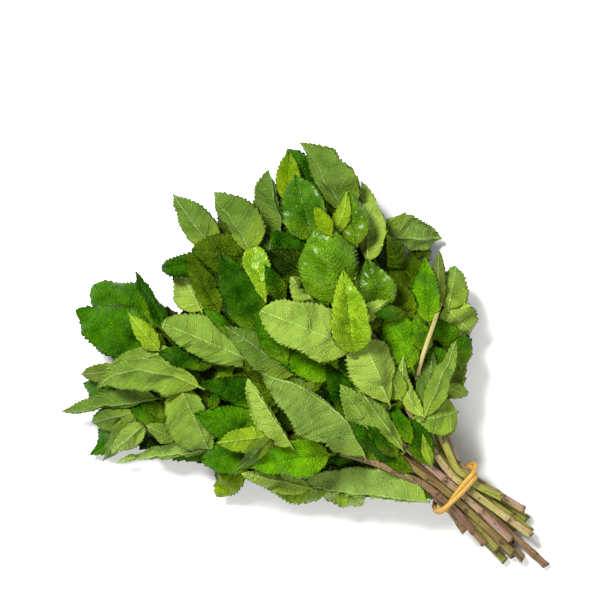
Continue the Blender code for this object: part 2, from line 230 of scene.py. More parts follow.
@dataclass(frozen=True)
class LeafFinish:
    """Living spearmint leaf, grown: a crinkled waxy upper face over a paler downy underside."""

    name: str
    upper: str
    upper_light: str
    under: str
    under_light: str
    wet: bool = False

    @cache
    def face(self, side: LeafSide) -> Material:
        """Makes the material of one face, once.

        Args:
            side: which face it is.

        Returns:
            The material.
        """
        material, add = new_material(f"mint_leaf_{self.name}_{side.name}")
        place = add("SeparateXYZ", {}, add("Attribute", {"attribute_name": "grain"}).outputs["Vector"])
        shade = add("Attribute", {"attribute_name": "shade"}).outputs["Fac"]
        where = add("TexCoord", {}).outputs["Object"]

        # Side veins, one every 5 mm or so, run out from the midrib; x counts them from the base,
        # and they wander by a tenth of their spacing.
        wander = add("TexNoise", {"Scale": 1 / (6 * MM), "Detail": 1.0}, where)
        beside = add("Math", {"operation": "PINGPONG"}, add("Math", TIMES_PLUS, wander, 0.5, place), 0.5)
        width = add("Math", {"operation": "ABSOLUTE"}, place.outputs["Z"])
        fade = add("MapRange", {}, width, 2.0, 14.0, 0.8, 0.4)
        vein = add("Math", TIMES, add("MapRange", SMOOTH, beside, 0.01, 0.075, 1.0, 0.0), fade)
        rib = add("MapRange", SMOOTH, width, 0.1, 0.55, 0.85, 0.0)
        veins = add("Math", {"operation": "MAXIMUM"}, vein, rib)

        # The finest vein net has cells of about 1 mm; it is drawn at 1.5 mm so that it shows.
        net = add("TexVoronoi", {"feature": "DISTANCE_TO_EDGE", "Scale": 1 / (1.5 * MM)}, where)
        cell = add("MapRange", SMOOTH, net, 0.0, 0.35)
        cloud = add("TexNoise", {"Scale": 1 / (9 * MM), "Detail": 4.0, "Roughness": 0.62}, where)
        patchy = add("MapRange", {}, cloud, 0.38, 0.62)
        mottle = add("Math", {**TIMES_PLUS, "use_clamp": True}, shade, 0.45, patchy)

        # New growth at the foot is yellower and the veins are lighter; a painted shadow, a darker line,
        # runs along one side of each side vein.
        foot = add("MapRange", {}, place, -0.3, 2.2, 0.6, 0.0)
        vein_light = add("Math", TIMES, veins, side.vein_share)
        off_vein_shadow = add("Math", {"operation": "SUBTRACT"}, beside, 0.12)
        off_vein_shadow = add("Math", {"operation": "ABSOLUTE"}, off_vein_shadow)
        vein_shadow = add("Math", TIMES, add("MapRange", SMOOTH, off_vein_shadow, 0.0, 0.05, 1.0, 0.0), 0.3)
        # Painted shade: the fine vein net is drawn darker, as shade in its sunken lines on the upper face;
        # the underside, where the net stands proud, gets the same darker lines.
        net_shade = add("MapRange", {}, cell, 0.0, 1.0, 0.3, 0.0)
        dark, light = self.upper, self.upper_light
        if side is UNDERSIDE:
            dark, light = self.under, self.under_light
        color = add("Mix", BLEND, mottle, linear(dark), linear(light))
        for amount, paint in (
            (foot, linear(side.foot)),
            (vein_light, linear(light, 1.6, side.vein_pale)),
            # Painted shadow along one side of each side vein.
            (vein_shadow, linear(dark, side.vein_shadow_share)),
            # Painted shade along the vein net.
            (net_shade, linear(dark, side.net_shade_share)),
        ):
            color = add("Mix", BLEND, amount, color, paint)

        swell = {"invert": side.veins_proud, "Strength": side.cell_bump, "Distance": 0.35 * MM}
        bump = add("Bump", {**swell, "Height": cell})
        stand = {"invert": not side.veins_proud, "Strength": 1.0, "Distance": 0.4 * MM}
        bump = add("Bump", {**stand, "Height": veins, "Normal": bump})
        wet = self.wet and side is UPPER_FACE
        if wet:
            # Water drops under 1 mm across, scattered some twenty to the square centimetre.
            drops = add("TexVoronoi", {"Scale": 1 / (1.6 * MM)}, where)
            chosen = add("Math", {"operation": "GREATER_THAN"}, drops.outputs["Color"], 0.55)
            dome = add("Math", TIMES, add("MapRange", SMOOTH, drops, 0.1, 0.3, 1.0, 0.0), chosen)
            bump = add("Bump", {"Strength": 1.0, "Distance": 0.35 * MM, "Height": dome, "Normal": bump})
            gloss = add("MapRange", {}, dome, 0.0, 1.0, 0.34, 0.06)
        else:
            gloss = add("MapRange", {}, cloud, 0.3, 0.7, *side.gloss)
        shader = add("BsdfPrincipled", {
            "Base Color": color,
            "Roughness": gloss,
            "Normal": bump,
            "IOR": 1.42,
            "Specular IOR Level": side.specular,
            "Specular Tint": linear("#c8d850"),
            "Sheen Weight": side.sheen,
            "Sheen Roughness": 0.5,
            "Sheen Tint": linear("#c8d890"),
            "Coat Weight": 0.16 if wet else 0.0,
            "Coat Roughness": 0.24,
        })
        add("OutputMaterial", {}, shader)
        return material


class Tone(Enum):
    """The shades that the leaves of one bunch come in."""

    # Near-black, darker than a living leaf: painted shade for the deep gaps inside the head.
    INNER = LeafFinish("inner", "#0a1b00", "#132802", "#182a08", "#20340d")
    DARK = LeafFinish("dark", "#133801", "#245001", "#344c14", "#405a1a")
    MID = LeafFinish("mid", "#1f4a01", "#366602", "#465e18", "#546e20")
    BRIGHT = LeafFinish("bright", "#366602", "#568806", "#546e20", "#64802a")
    YOUNG = LeafFinish("young", "#4e6c02", "#6c860c", "#58740e", "#6e8816")
    PALE = LeafFinish("pale", "#2e5a06", "#40680c", "#567022", "#66802e")
    SAGE = LeafFinish("sage", "#2e5a06", "#40680c", "#5c742c", "#6e863a")
    LIME = LeafFinish("lime", "#3c6808", "#547c14", "#6c8630", "#7a9038")
    GREY = LeafFinish("grey", "#244a05", "#345a0c", "#40591a", "#526a25")
    OLIVE = LeafFinish("olive", "#2c4003", "#3f5807", "#445418", "#526222")
    DAMP = LeafFinish("damp", "#264c03", "#3c6808", "#54701f", "#627c2a", wet=True)
    WET = LeafFinish("wet", "#365603", "#527c0c", "#54701f", "#627c2a", wet=True)
    DEWY = LeafFinish("dewy", "#567c08", "#82a01c", "#54701f", "#627c2a", wet=True)


@dataclass(frozen=True)
class StemFinish:
    """Mint stem, grown square and ribbed: satin skin with long streaks of green and purple."""

    name: str
    main: str
    blush: str
    light: str
    lean: float = 0.0
    slot: str = "purple_stem"

    @cache
    def skin(self) -> Material:
        """Makes the stem's skin, once.

        Returns:
            The material.
        """
        material, add = new_material(f"{self.name}_skin")
        grain = add("Attribute", {"attribute_name": "grain"}).outputs["Vector"]
        shade = add("Attribute", {"attribute_name": "shade"}).outputs["Fac"]
        knot = add("Attribute", {"attribute_name": "knot"}).outputs["Fac"]
        where = add("TexCoord", {}).outputs["Object"]
        noise = {"noise_dimensions": "4D", "W": shade, "Scale": 1.0}
        # Colour drifts every 15 to 20 mm along the stem, and from face to face round it.
        long_way = add("VectorMath", TIMES, grain, (1 / 17, 0.9, 0.9))
        drift = add("TexNoise", {**noise, "Detail": 2.0}, long_way)
        # Fibres run the stem's length; real ones are 0.1 mm wide and are drawn at 0.3 mm.
        fine_way = add("VectorMath", TIMES, grain, (1 / 14, 5.0, 5.0))
        fibre = add("TexNoise", {**noise, "Detail": 4.0, "Roughness": 0.65}, fine_way)
        # Scars and specks of about 1 mm, thickest at the leaf joints.
        specks = add("TexNoise", {"Scale": 1 / (1.6 * MM), "Detail": 3.0}, where)
        scarred = add("Math", TIMES_PLUS, knot, 0.16, specks)

        blushed = add("MapRange", {}, drift, 0.42 - self.lean, 0.62 - self.lean)
        color = add("Mix", BLEND, blushed, linear(self.main), linear(self.blush))
        for amount, paint in (
            (add("MapRange", {}, fibre, 0.45, 0.72, 0.0, 0.7), self.light),
            (add("MapRange", {}, fibre, 0.52, 0.32, 0.0, 0.65), "#463a18"),
            (add("Math", TIMES, knot, 0.65), "#5c4729"),
            (add("MapRange", {}, scarred, 0.6, 0.7, 0.0, 0.8), "#34220f"),
        ):
            color = add("Mix", BLEND, amount, color, linear(paint))
        shader = add("BsdfPrincipled", {
            "Base Color": color,
            "Roughness": add("MapRange", {}, fibre, 0.0, 1.0, 0.36, 0.56),
            "Normal": add("Bump", {"Strength": 0.7, "Distance": 0.25 * MM, "Height": fibre}),
            "IOR": 1.45,
            "Specular IOR Level": 0.3,
        })
        add("OutputMaterial", {}, shader)
        return material


class Skin(Enum):
    """The colourings of the stems."""

    SHOOT = StemFinish("young_shoot", "#57741a", "#6a6a26", "#7c9234")
    GREEN = StemFinish("green_stem", "#767c28", "#7c7230", "#a2a650", -0.02, "green_stem")
    STRAW = StemFinish("straw_stem", "#8c8a40", "#967c5c", "#b2aa74")
    BROWN = StemFinish("brown_stem", "#5e4828", "#70662c", "#8a7444", 0.02, "green_stem")
    PURPLE = StemFinish("purple_stem", "#5a3a32", "#6e5a34", "#8c7258", 0.04)
    PINK = StemFinish("pink_stem", "#7e5c58", "#8a7652", "#b0967e", 0.03)


@dataclass(frozen=True)
class CutFinish:
    """Knife-cut stem end: wet pith, pale in the middle and browned at the rim."""

    pith: str = "#9f976b"
    rim: str = "#5e472e"

    @cache
    def face(self) -> Material:
        """Makes the cut end's material, once.

        Returns:
            The material.
        """
        material, add = new_material("cut_stem_end")
        where = add("TexCoord", {}).outputs["Object"]
        knot = add("Attribute", {"attribute_name": "knot"}).outputs["Fac"]
        # Real pores are 0.2 mm across and are drawn at 0.5 mm.
        pores = add("TexNoise", {"Scale": 1 / (0.5 * MM), "Detail": 3.0}, where)
        rough = add("Math", TIMES_PLUS, pores, 0.5, -0.25)
        amount = add("Math", {"operation": "ADD", "use_clamp": True}, knot, rough)
        shader = add("BsdfPrincipled", {
            "Base Color": add("Mix", BLEND, amount, linear(self.pith), linear(self.rim)),
            "Roughness": 0.55,
            "Normal": add("Bump", {"Strength": 0.8, "Distance": 0.3 * MM, "Height": pores}),
            "IOR": 1.4,
        })
        add("OutputMaterial", {}, shader)
        return material


@dataclass(frozen=True)
class RubberFinish:
    """Natural rubber, extruded and cut: amber tan, dusted with talc, with faint die lines."""

    amber: str = "#94691a"
    tan: str = "#b28c36"
    dust: str = "#c4a45c"

    def skin(self) -> Material:
        """Makes the band's material.

        Returns:
            The material.
        """
        material, add = new_material("natural_rubber")
        grain = add("Attribute", {"attribute_name": "grain"}).outputs["Vector"]
        where = add("TexCoord", {}).outputs["Object"]
        # Die lines run the strand's length, about 0.3 mm apart.
        way = add("VectorMath", TIMES, grain, (1 / 9, 2.6, 2.6))
        lines = add("TexNoise", {"Scale": 1.0, "Detail": 4.0, "Roughness": 0.6}, way)
        talc = add("TexNoise", {"Scale": 1 / (1.5 * MM), "Detail": 5.0, "Roughness": 0.7}, where)
        dusty = add("MapRange", {}, talc, 0.5, 0.75, 0.0, 0.6)
        bare = add("Mix", BLEND, lines, linear(self.amber), linear(self.tan))
        shader = add("BsdfPrincipled", {
            "Base Color": add("Mix", BLEND, dusty, bare, linear(self.dust)),
            "Roughness": add("MapRange", {}, talc, 0.0, 1.0, 0.4, 0.65),
            "Normal": add("Bump", {"Strength": 0.6, "Distance": 0.2 * MM, "Height": lines}),
            "IOR": 1.52,
            "Specular IOR Level": 0.4,
            "Subsurface Weight": 0.12,
            "Subsurface Scale": 0.8 * MM,
            "Subsurface Radius": (1.0, 0.6, 0.25),
        })
        add("OutputMaterial", {}, shader)
        return material


def leaf_paints(tone: Tone) -> list[Material]:
    """The upper and lower face of a leaf of this tone."""
    return [tone.value.face(side) for side in (UPPER_FACE, UNDERSIDE)]


def stem_paints(skin: Skin) -> list[Material]:
    """The skin and cut end of a stem, and the skin of its green side shoots."""
    return [skin.value.skin(), CutFinish().face(), Skin.SHOOT.value.skin()]


# ---------------------------------------------------------------- meshes


@dataclass
class Patch:
    """A closed shell, with the values that its material reads at each point.

    grain is (vein count from the base, share of the half width, millimetres from the midrib)
    on a leaf, and (millimetres along, cosine, sine of the angle round it) on a rod.
    """

    points: Array
    quads: Array
    paint: Array
    grain: Array
    shade: float = 0.0
    knot: Array | float = 0.0


def make_piece(
    name: str, patches: list[Patch], materials: list[Material], origin: Vector
) -> bpy.types.Object:
    """Joins patches into one mesh object in the frame.

    Args:
        name: the piece's name.
        patches: closed shells in working millimetres; their paint numbers index materials.
        materials: the piece's materials.
        origin: where the middle of the band stands in the frame, in metres.

    Returns:
        The object, linked to the scene.
    """
    starts = np.cumsum([0] + [len(patch.points) for patch in patches])
    points = np.concatenate([patch.points for patch in patches]) * MM + np.array(origin)
    quads = np.concatenate([patch.quads + start for patch, start in zip(patches, starts)])
    paint = np.concatenate([patch.paint for patch in patches])
    mesh = bpy.data.meshes.new(name)
    mesh.vertices.add(len(points))
    mesh.vertices.foreach_set("co", points.astype(np.float32).ravel())
    mesh.loops.add(quads.size)
    mesh.loops.foreach_set("vertex_index", quads.astype(np.int32).ravel())
    mesh.polygons.add(len(quads))
    mesh.polygons.foreach_set("loop_start", np.arange(0, quads.size, 4, dtype=np.int32))
    mesh.polygons.foreach_set("material_index", paint.astype(np.int32))
    mesh.polygons.foreach_set("use_smooth", np.ones(len(quads), dtype=bool))
    mesh.update(calc_edges=True)
    values = (
        ("grain", "FLOAT_VECTOR", "vector", [patch.grain for patch in patches]),
        ("shade", "FLOAT", "value", [np.full(len(patch.points), patch.shade) for patch in patches]),
        ("knot", "FLOAT", "value", [np.broadcast_to(patch.knot, len(patch.points)) for patch in patches]),
    )
    for label, kind, key, parts in values:
        data = mesh.attributes.new(label, kind, "POINT").data
        data.foreach_set(key, np.concatenate(parts).astype(np.float32).ravel())
    for material in materials:
        mesh.materials.append(material)
    piece = bpy.data.objects.new(name, mesh)
    bpy.context.scene.collection.objects.link(piece)
    return piece


def unit(vectors: Array) -> Array:
    """Scales vectors, held in the last axis, to length 1."""
    return vectors / np.maximum(np.linalg.norm(vectors, axis=-1, keepdims=True), 1e-9)


def level_side(way: Array) -> Array:
    """Unit vectors to the left of these directions, level with the table."""
    return unit(np.cross(UP, way))


def run_along(path: Array) -> Array:
    """Distance along a path at each of its points."""
    return np.concatenate([[0.0], np.cumsum(np.linalg.norm(np.diff(path, axis=0), axis=1))])


def round_angles(around: int) -> Array:
    """Evenly spaced angles round a full turn."""
    return np.arange(around) * math.tau / around


def smooth_step(low: float, high: float, value: Array) -> Array:
    """Goes from 0 at low to 1 at high with level ends."""
    share = np.clip((value - low) / (high - low), 0.0, 1.0)
    return share * share * (3.0 - 2.0 * share)


def smooth_curve(points: list[Vector], count: int) -> Array:
    """Evenly spaced points of a Catmull-Rom curve through the given ones.

    Args:
        points: the points to pass through.
        count: how many points to return.

    Returns:
        Rows of x, y, z.
    """
    ends = [points[0] * 2 - points[1], *points, points[-1] * 2 - points[-2]]
    fine = []
    for a, b, c, d in zip(ends, ends[1:], ends[2:], ends[3:]):
        for step in range(CURVE_STEPS):
            t = step / CURVE_STEPS
            straight = (c - a) * (t / 2)
            square = (a * 2 - b * 5 + c * 4 - d) * (t**2 / 2)
            cube = (b * 3 - a - c * 3 + d) * (t**3 / 2)
            fine.append(b + straight + square + cube)
    fine.append(points[-1])
    run = np.cumsum([0.0] + [(q - p).length for p, q in zip(fine, fine[1:])])
    even = np.linspace(0.0, run[-1], count)
    return np.column_stack([np.interp(even, run, [p[axis] for p in fine]) for axis in range(3)])


def sweep(path: Array, section: Array, cut: float = 0.0, closed: bool = False) -> tuple[Array, Array]:
    """Sweeps a section along a path, keeping its flats level.

    Args:
        path: n points of the centre line.
        section: n rows of m (side, up) offsets.
        cut: how far the first end is cut on a slant.
        closed: True for a ring, whose ends meet.

    Returns:
        The n by m points and the distance along the path.
    """
    if closed:
        tangent = unit(np.roll(path, -1, axis=0) - np.roll(path, 1, axis=0))
        side = unit(np.cross(tangent, (math.cos(STEM_SLOPE), 0.0, math.sin(STEM_SLOPE))))
    else:
        tangent = unit(np.gradient(path, axis=0))
        side = level_side(tangent)
    up = np.cross(tangent, side)
    points = path[:, None] + side[:, None] * section[..., :1] + up[:, None] * section[..., 1:]
    slant = section[0, :, 0] * cut
    points[0] += tangent[0] * slant[:, None]
    return points, run_along(path)


def ring_quads(rings: int, around: int, closed: bool = False) -> Array:
    """Quads between rings of points, wound outwards.

    Args:
        rings: how many rings.
        around: points in each.
        closed: True if the last ring joins the first.

    Returns:
        One row of four point numbers for each quad.
    """
    ring, spot = np.meshgrid(np.arange(rings - (not closed)), np.arange(around), indexing="ij")
    after, beside = (ring + 1) % rings, (spot + 1) % around
    corners = ((ring, spot), (ring, beside), (after, beside), (after, spot))
    return np.stack([row * around + column for row, column in corners], axis=-1).reshape(-1, 4)


# ---------------------------------------------------------------- the heap


class Heap:
    """Heights of things lying over each other, on the cells of the table."""

    def __init__(self, start: float) -> None:
        """Every cell starts at this height."""
        self.height = np.full(HEAP_SHAPE, start)

    @staticmethod
    def cells(points: Array) -> tuple[Array, Array]:
        """Row and column of the cells below these points."""
        index = np.floor((points[..., :2] - HEAP_CORNER) / CELL).astype(int)
        return tuple(np.clip(index[..., axis], 1, HEAP_SHAPE[axis] - 2) for axis in (0, 1))

    def cover(self, points: Array, thick: float = BLADE_HALF) -> None:
        """Raises the cells below these points to this far over them."""
        np.maximum.at(self.height, self.cells(points), points[..., 2] + thick)

    def undercut(self, points: Array) -> None:
        """Lowers the cells below these points to them."""
        np.minimum.at(self.height, self.cells(points), points[..., 2])

    def read(self, points: Array, choose: np.ufunc) -> Array:
        """Height near these points.

        Args:
            points: the points.
            choose: np.maximum or np.minimum, to pick from the nine cells round each.

        Returns:
            One height for each point.
        """
        row, column = self.cells(points)
        found = self.height[row, column]
        for step_row in (-1, 0, 1):
            for step_column in (-1, 0, 1):
                found = choose(found, self.height[row + step_row, column + step_column])
        return found


def soften(shift: Array) -> Array:
    """Blurs shifts a little, so that a blade bends and doesn't crease.

    Args:
        shift: a grid of shifts.

    Returns:
        The blurred grid.
    """
    for _ in range(2):
        wide = np.pad(shift, 1, mode="edge")
        near = wide[:-2, 1:-1] + wide[2:, 1:-1] + wide[1:-1, :-2] + wide[1:-1, 2:]
        shift = (near + 4 * shift) / 8
    return shift


def ease(shift: Array, points: Array) -> Array:
    """Spreads a sudden lift of a blade over its surroundings, as the blade is stiff.

    Args:
        shift: a grid of shifts, which is changed.
        points: the blade's grid.

    Returns:
        The same grid of shifts.
    """
    for _ in range(EASE_ROUNDS):
        for axis in (0, 1):
            slack = STEEPEST * np.linalg.norm(np.diff(np.moveaxis(points, axis, 0), axis=0), axis=-1)
            lift = np.moveaxis(shift, axis, 0)
            lift[1:] = np.maximum(lift[1:], lift[:-1] - slack)
            lift[:-1] = np.maximum(lift[:-1], lift[1:] - slack)
    return shift


def nestle(points: Array, floor: Heap, ceiling: Heap | None, most: float) -> Array:
    """Bends a blade so that it lies over what is below it and under what is above.

    Args:
        points: the blade's grid.
        floor: tops of what lies below.
        ceiling: undersides of what lies above, or None.
        most: the furthest that a point may move.

    Returns:
        The bent grid.
    """
    gap = LEAF_GAP + BLADE_HALF
    low = floor.read(points, np.maximum) + gap
    high = ceiling.read(points, np.minimum) - gap if ceiling else np.full(low.shape, OPEN_SKY)
    high = np.maximum(high, gap)
    shift = np.zeros(low.shape)
    for _ in range(4):
        target = np.minimum(np.maximum(points[..., 2] + shift, low), high)
        shift = soften(target - points[..., 2])
    target = np.minimum(np.maximum(points[..., 2] + shift, low), high)
    shift = np.clip(soften(ease(0.5 * (shift + target - points[..., 2]), points)), -most, most)
    bent = points.copy()
    bent[..., 2] += shift
    if ceiling:
        bent[..., 2] = np.minimum(bent[..., 2], high)
    return bent


def denser(grid: Array) -> Array:
    """Adds two points on each side of a grid's cells.

    Args:
        grid: the grid of points.

    Returns:
        The denser grid.
    """
    for axis in (0, 1):
        first = np.take(grid, range(grid.shape[axis] - 1), axis=axis)
        second = np.take(grid, range(1, grid.shape[axis]), axis=axis)
        parts = [first, first * 2 / 3 + second / 3, first / 3 + second * 2 / 3]
        grid = np.concatenate([*parts, np.take(grid, [-1], axis=axis)], axis=axis)
    return grid


# ---------------------------------------------------------------- leaves


def outline_width(along: Array, base_power: float = BASE_POWER, tip_power: float = TIP_POWER) -> Array:
    """Width of a mint leaf as a share of its greatest, from base (0) to tip (1).

    Args:
        along: shares of the way from base to tip.
        base_power: how fast it widens from the base; less is rounder.
        tip_power: how fast it narrows to the tip; less is blunter.

    Returns:
        The share of the greatest width at each.
    """
    widest = base_power / (base_power + tip_power)
    along = np.clip(along, 0.0, 1.0)
    return (along / widest) ** base_power * ((1.0 - along) / (1.0 - widest)) ** tip_power


def crumple(rng: np.random.Generator, x: Array, y: Array, pitch: float) -> Array:
    """Smooth random waves, mostly within -1 and 1.

    Args:
        rng: where the waves' turns and sizes come from.
        x: first coordinate of each point.
        y: second coordinate of each point.
        pitch: about how long a wave is.

    Returns:
        The waves' height at each point.
    """
    total = np.zeros(x.shape)
    for _ in range(6):
        turn, phase = rng.uniform(0, math.tau), rng.uniform(0, math.tau)
        size = pitch * rng.uniform(0.8, 1.5)
        total += np.sin((x * math.cos(turn) + y * math.sin(turn)) * math.tau / size + phase)
    return total / 2.4


@dataclass(frozen=True)
class Leaf:
    """A leaf blade: base and tip, full width, and how it turns, folds and bows.

    roll turns the blade about its midrib, 0 with the upper face up and 180 with it down;
    fold lifts each half towards the upper face; arch and sway bow the midrib up and left.
    halves scales the two half widths, for a leaf with one half turned under. base_power and
    tip_power are how fast the blade narrows to its ends, 0 to leave it to chance. below names
    the CAD leaf that a loose leaf is tucked under, "" for one that lies on top.
    """

    name: str
    base: Point
    tip: Point
    width: float
    tone: Tone
    roll: float
    fold: float
    arch: float = 3.0
    sway: float = 0.0
    halves: tuple[float, float] = (1.0, 1.0)
    base_power: float = 0.0
    tip_power: float = 0.0
    below: str = ""

    @property
    def length(self) -> float:
        """Distance from base to tip."""
        return float(np.linalg.norm(np.subtract(self.tip, self.base)))

    def surface(self, along: Array, across: Array, half: Array, relief: Array, twist: float = 0.0) -> Array:
        """Points of the blade's middle surface.

        Args:
            along: shares of the way from base to tip, an n by m grid.
            across: shares of the half width, from -1 to 1, on the same grid.
            half: half widths in millimetres, on the same grid.
            relief: heights over the folded surface, on the same grid.
            twist: how far the blade turns about its midrib from base to tip, in degrees.

        Returns:
            An n by m by 3 grid of points.
        """
        base, tip = np.array(self.base, float), np.array(self.tip, float)
        chord = tip - base
        left = level_side(chord)
        up = unit(np.cross(chord, left))
        bow = up * self.arch + left * self.sway
        share = along[..., None]
        spine = base + chord * share + bow * (4.0 * share * (1.0 - share))
        tangent = unit(chord + bow * (4.0 - 8.0 * share))
        left = unit(np.cross(up, tangent))
        up = np.cross(tangent, left)
        roll = np.radians(self.roll + twist * (share - 0.4))
        normal = up * np.cos(roll) - left * np.sin(roll)
        side = left * np.cos(roll) + up * np.sin(roll)
        fold = math.radians(self.fold)
        sharp = np.sqrt(across**2 + 0.003) - 0.055 if twist else np.abs(across)
        rise = sharp * math.sin(fold) - LEAF_CURL * across * across
        out, height = half * across * math.cos(fold), half * rise + relief
        return spine + side * out[..., None] + normal * height[..., None]

    def coarse_box(self) -> Array:
        """Finds the CAD's own sheet for this leaf, before it is laid down.

        Returns:
            The middle of its box.
        """
        along = (np.arange(9) + 0.12) / 8.24
        along, across = np.meshgrid(along, np.linspace(-1, 1, 5), indexing="ij")
        half = np.maximum(outline_width(along) * self.width / 2, 1.0)
        sheet = self.surface(along, across, half, np.zeros(along.shape)).reshape(-1, 3)
        return (sheet.min(axis=0) + sheet.max(axis=0)) / 2


@dataclass
class Blade:
    """The detailed surface of one leaf: toothed margin, veins, quilting and ruffles."""

    leaf: Leaf
    rng: np.random.Generator
    ruffle: float = 0.5
    small: bool = False
    points: Array = field(init=False)
    foot: Array = field(init=False)
    across: Array = field(init=False)
    aside: Array = field(init=False)
    along: Array = field(init=False)
    shade: float = field(init=False)

    def __post_init__(self) -> None:
        """Lays out the grid and shapes the surface."""
        leaf, rng = self.leaf, self.rng
        length = max(leaf.length, 4.0)
        teeth = max(5, round(length / TOOTH_PITCH))
        steps = SMALL_TOOTH if self.small else FULL_TOOTH
        columns = np.array(SMALL_ACROSS if self.small else FULL_ACROSS, float)
        tooth = 0.04 + 0.94 * np.concatenate([(k + np.array(steps)) / teeth for k in range(teeth)])
        stalk = min(STALK_LENGTH, 0.2 * length) / length
        rows = np.concatenate([[-stalk, -stalk / 2, 0.0, 0.02], tooth, [1.0]])
        rise = np.array([0.35] * 4 + list(steps) * teeth + [0.35])
        foot, across = np.meshgrid(rows, columns, indexing="ij")
        size = np.abs(across)
        # Rows lean forward from the midrib, as the side veins do.
        along = foot + VEIN_LEAN * size**1.3 * smooth_step(0.0, 0.3, foot) * (1.0 - foot)
        chances = rng.uniform(*BASE_POWERS), rng.uniform(*TIP_POWERS)
        outline = outline_width(along, leaf.base_power or chances[0], leaf.tip_power or chances[1])
        edges = [crumple(rng, along * length, along, WANDER_PITCH) for _ in range(2)]
        wander = np.where(across < 0, *edges)
        half = outline * leaf.width / 2 * np.where(across < 0, *leaf.halves) * (1.0 + EDGE_WANDER * wander)
        half = np.maximum(half, np.where(along < 0.25, min(STALK_HALF, leaf.width / 8), 0.12))
        ends = np.minimum(smooth_step(0.02, 0.2, foot), smooth_step(1.0, 0.9, foot))
        depth = TOOTH_DEPTH * min(1.0, leaf.width / 18) * (rise[:, None] - 0.4) * ends
        depth = depth * rng.uniform(0.4, 1.2, (len(rows), 1))
        spread = across * (1.0 + depth / np.maximum(half, 1.0) * size**6)
        veins = max(4, round(length / VEIN_PITCH))
        count = foot * veins
        self.shade = float(rng.uniform(-0.5, 0.5))
        waves, turn = rng.uniform(1.6, 3.0), rng.uniform(0.0, math.tau, 2)
        phase = np.where(across < 0, turn[0], turn[1])
        ruffle = self.ruffle * size**2 * np.sin(math.tau * waves * along + phase)
        ruffle = ruffle * smooth_step(0.0, 0.2, along)
        swell = np.abs(np.sin(math.pi * count)) ** 0.7 * smooth_step(0.02, 0.3, size)
        swell = swell * (1.0 - 0.6 * smooth_step(0.75, 1.0, size)) * smooth_step(0.0, 0.15, along)
        relief = ruffle + (LARGE_QUILT if leaf.width > LARGE_LEAF else SMALL_QUILT) * swell
        down, out = along * length, across * half
        soft_root = smooth_step(0.0, 0.25, along)
        waves = 1.2 * crumple(rng, down, out, CRUMPLE_PITCH) + 0.3 * crumple(rng, down, out, FINE_PITCH)
        broad = min(1.0, leaf.width / 30) * crumple(rng, down, out, BROAD_PITCH)
        relief = relief + (waves + broad) * soft_root
        relief = relief + rng.uniform(*TIP_BENDS) * smooth_step(0.55, 1.15, along) ** 2 * length / 40
        relief = relief + rng.uniform(*EDGE_CURLS) * half * size**2 * soft_root
        self.points = leaf.surface(along, spread, half, relief, rng.uniform(*TWISTS) + 0.01)
        self.foot, self.across, self.along, self.aside = count, across, along, size * half

    def patch(self) -> Patch:
        """Closes the surface into a thin shell with a rib below and a furrow above.

        Returns:
            The shell, with paint 0 on the upper face and 1 on the underside.
        """
        grid = self.points
        rows, columns = grid.shape[:2]
        normal = unit(np.cross(np.gradient(grid, axis=0), np.gradient(grid, axis=1)))
        stalk = 1.0 - smooth_step(-0.02, 0.1, self.along)
        size = np.abs(self.across)
        thick = BLADE_HALF + (0.5 * np.sqrt(np.maximum(1.0 - size**2, 0.0)) - BLADE_HALF) * stalk
        ridge = np.exp(-((self.aside / 0.7) ** 2)) * np.clip(1.1 - self.along, 0.15, 1.0) * (1.0 - stalk)
        thin = min(1.0, self.leaf.width / 16)
        above = grid + normal * (thick - 0.2 * thin * ridge)[..., None]
        below = grid - normal * (thick + RIB_HEIGHT * thin * ridge)[..., None]
        inner = np.zeros((rows, columns), bool)
        inner[1:-1, 1:-1] = True
        above[~inner] = grid[~inner]
        upper = np.arange(rows * columns).reshape(rows, columns)
        lower = upper.copy()
        lower[inner] = rows * columns + np.arange(inner.sum())
        points = np.concatenate([above.reshape(-1, 3), below[inner]])
        faces = []
        for sheet, order in ((upper, 1), (lower, -1)):
            corners = [sheet[:-1, :-1], sheet[1:, :-1], sheet[1:, 1:], sheet[:-1, 1:]]
            faces.append(np.stack(corners[::order], axis=-1).reshape(-1, 4))
        values = np.stack([self.foot, self.across, self.aside], axis=-1)
        grain = np.concatenate([values.reshape(-1, 3), values[inner]])
        paint = np.repeat([0, 1], len(faces[0]))
        return Patch(points, np.concatenate(faces), paint, grain, self.shade)


# ---------------------------------------------------------------- stems


@dataclass(frozen=True)
class Stem:
    """A stem: its row and slot under the band, its cut end, and its route into the head."""

    name: str
    row: int
    slot: float
    cut_end: tuple[float, float]
    skin: Skin
    route: tuple[Point, ...]

    @property
    def path(self) -> Array:
        """The stem's centre line.

        Returns:
            A point every 1.5 mm or so.
        """
        y = self.slot * STEM_PITCH
        straight = [self.cut_end, (-STRAIGHT_RUN, y), (0.0, y), (STRAIGHT_RUN, y)]
        rise = STEM_PITCH / math.cos(STEM_SLOPE)
        level = BAND_HEIGHT + (self.row - 1) * rise
        points = [Vector((px, py, level + px * math.tan(STEM_SLOPE))) for px, py in straight]
        points[0].z = max(points[0].z, STEM_SIDE / 2)
        points += [Vector(point) for point in self.route]
        return smooth_curve(points, 150)


def square_section(size: Array, around: int) -> Array:
    """Rounded square sections with grooved faces, as a mint stem has.

    Args:
        size: the half side at each ring.
        around: points round the section.

    Returns:
        Rings of (side, up) offsets.
    """
    angle = round_angles(around)
    radius = 1.0 / (np.abs(np.cos(angle)) ** 5 + np.abs(np.sin(angle)) ** 5) ** 0.2
    radius = radius * (1.0 - 0.05 * np.cos(4 * angle))
    ring = np.stack([np.cos(angle) * radius, np.sin(angle) * radius], axis=-1)
    return ring * size[:, None, None]


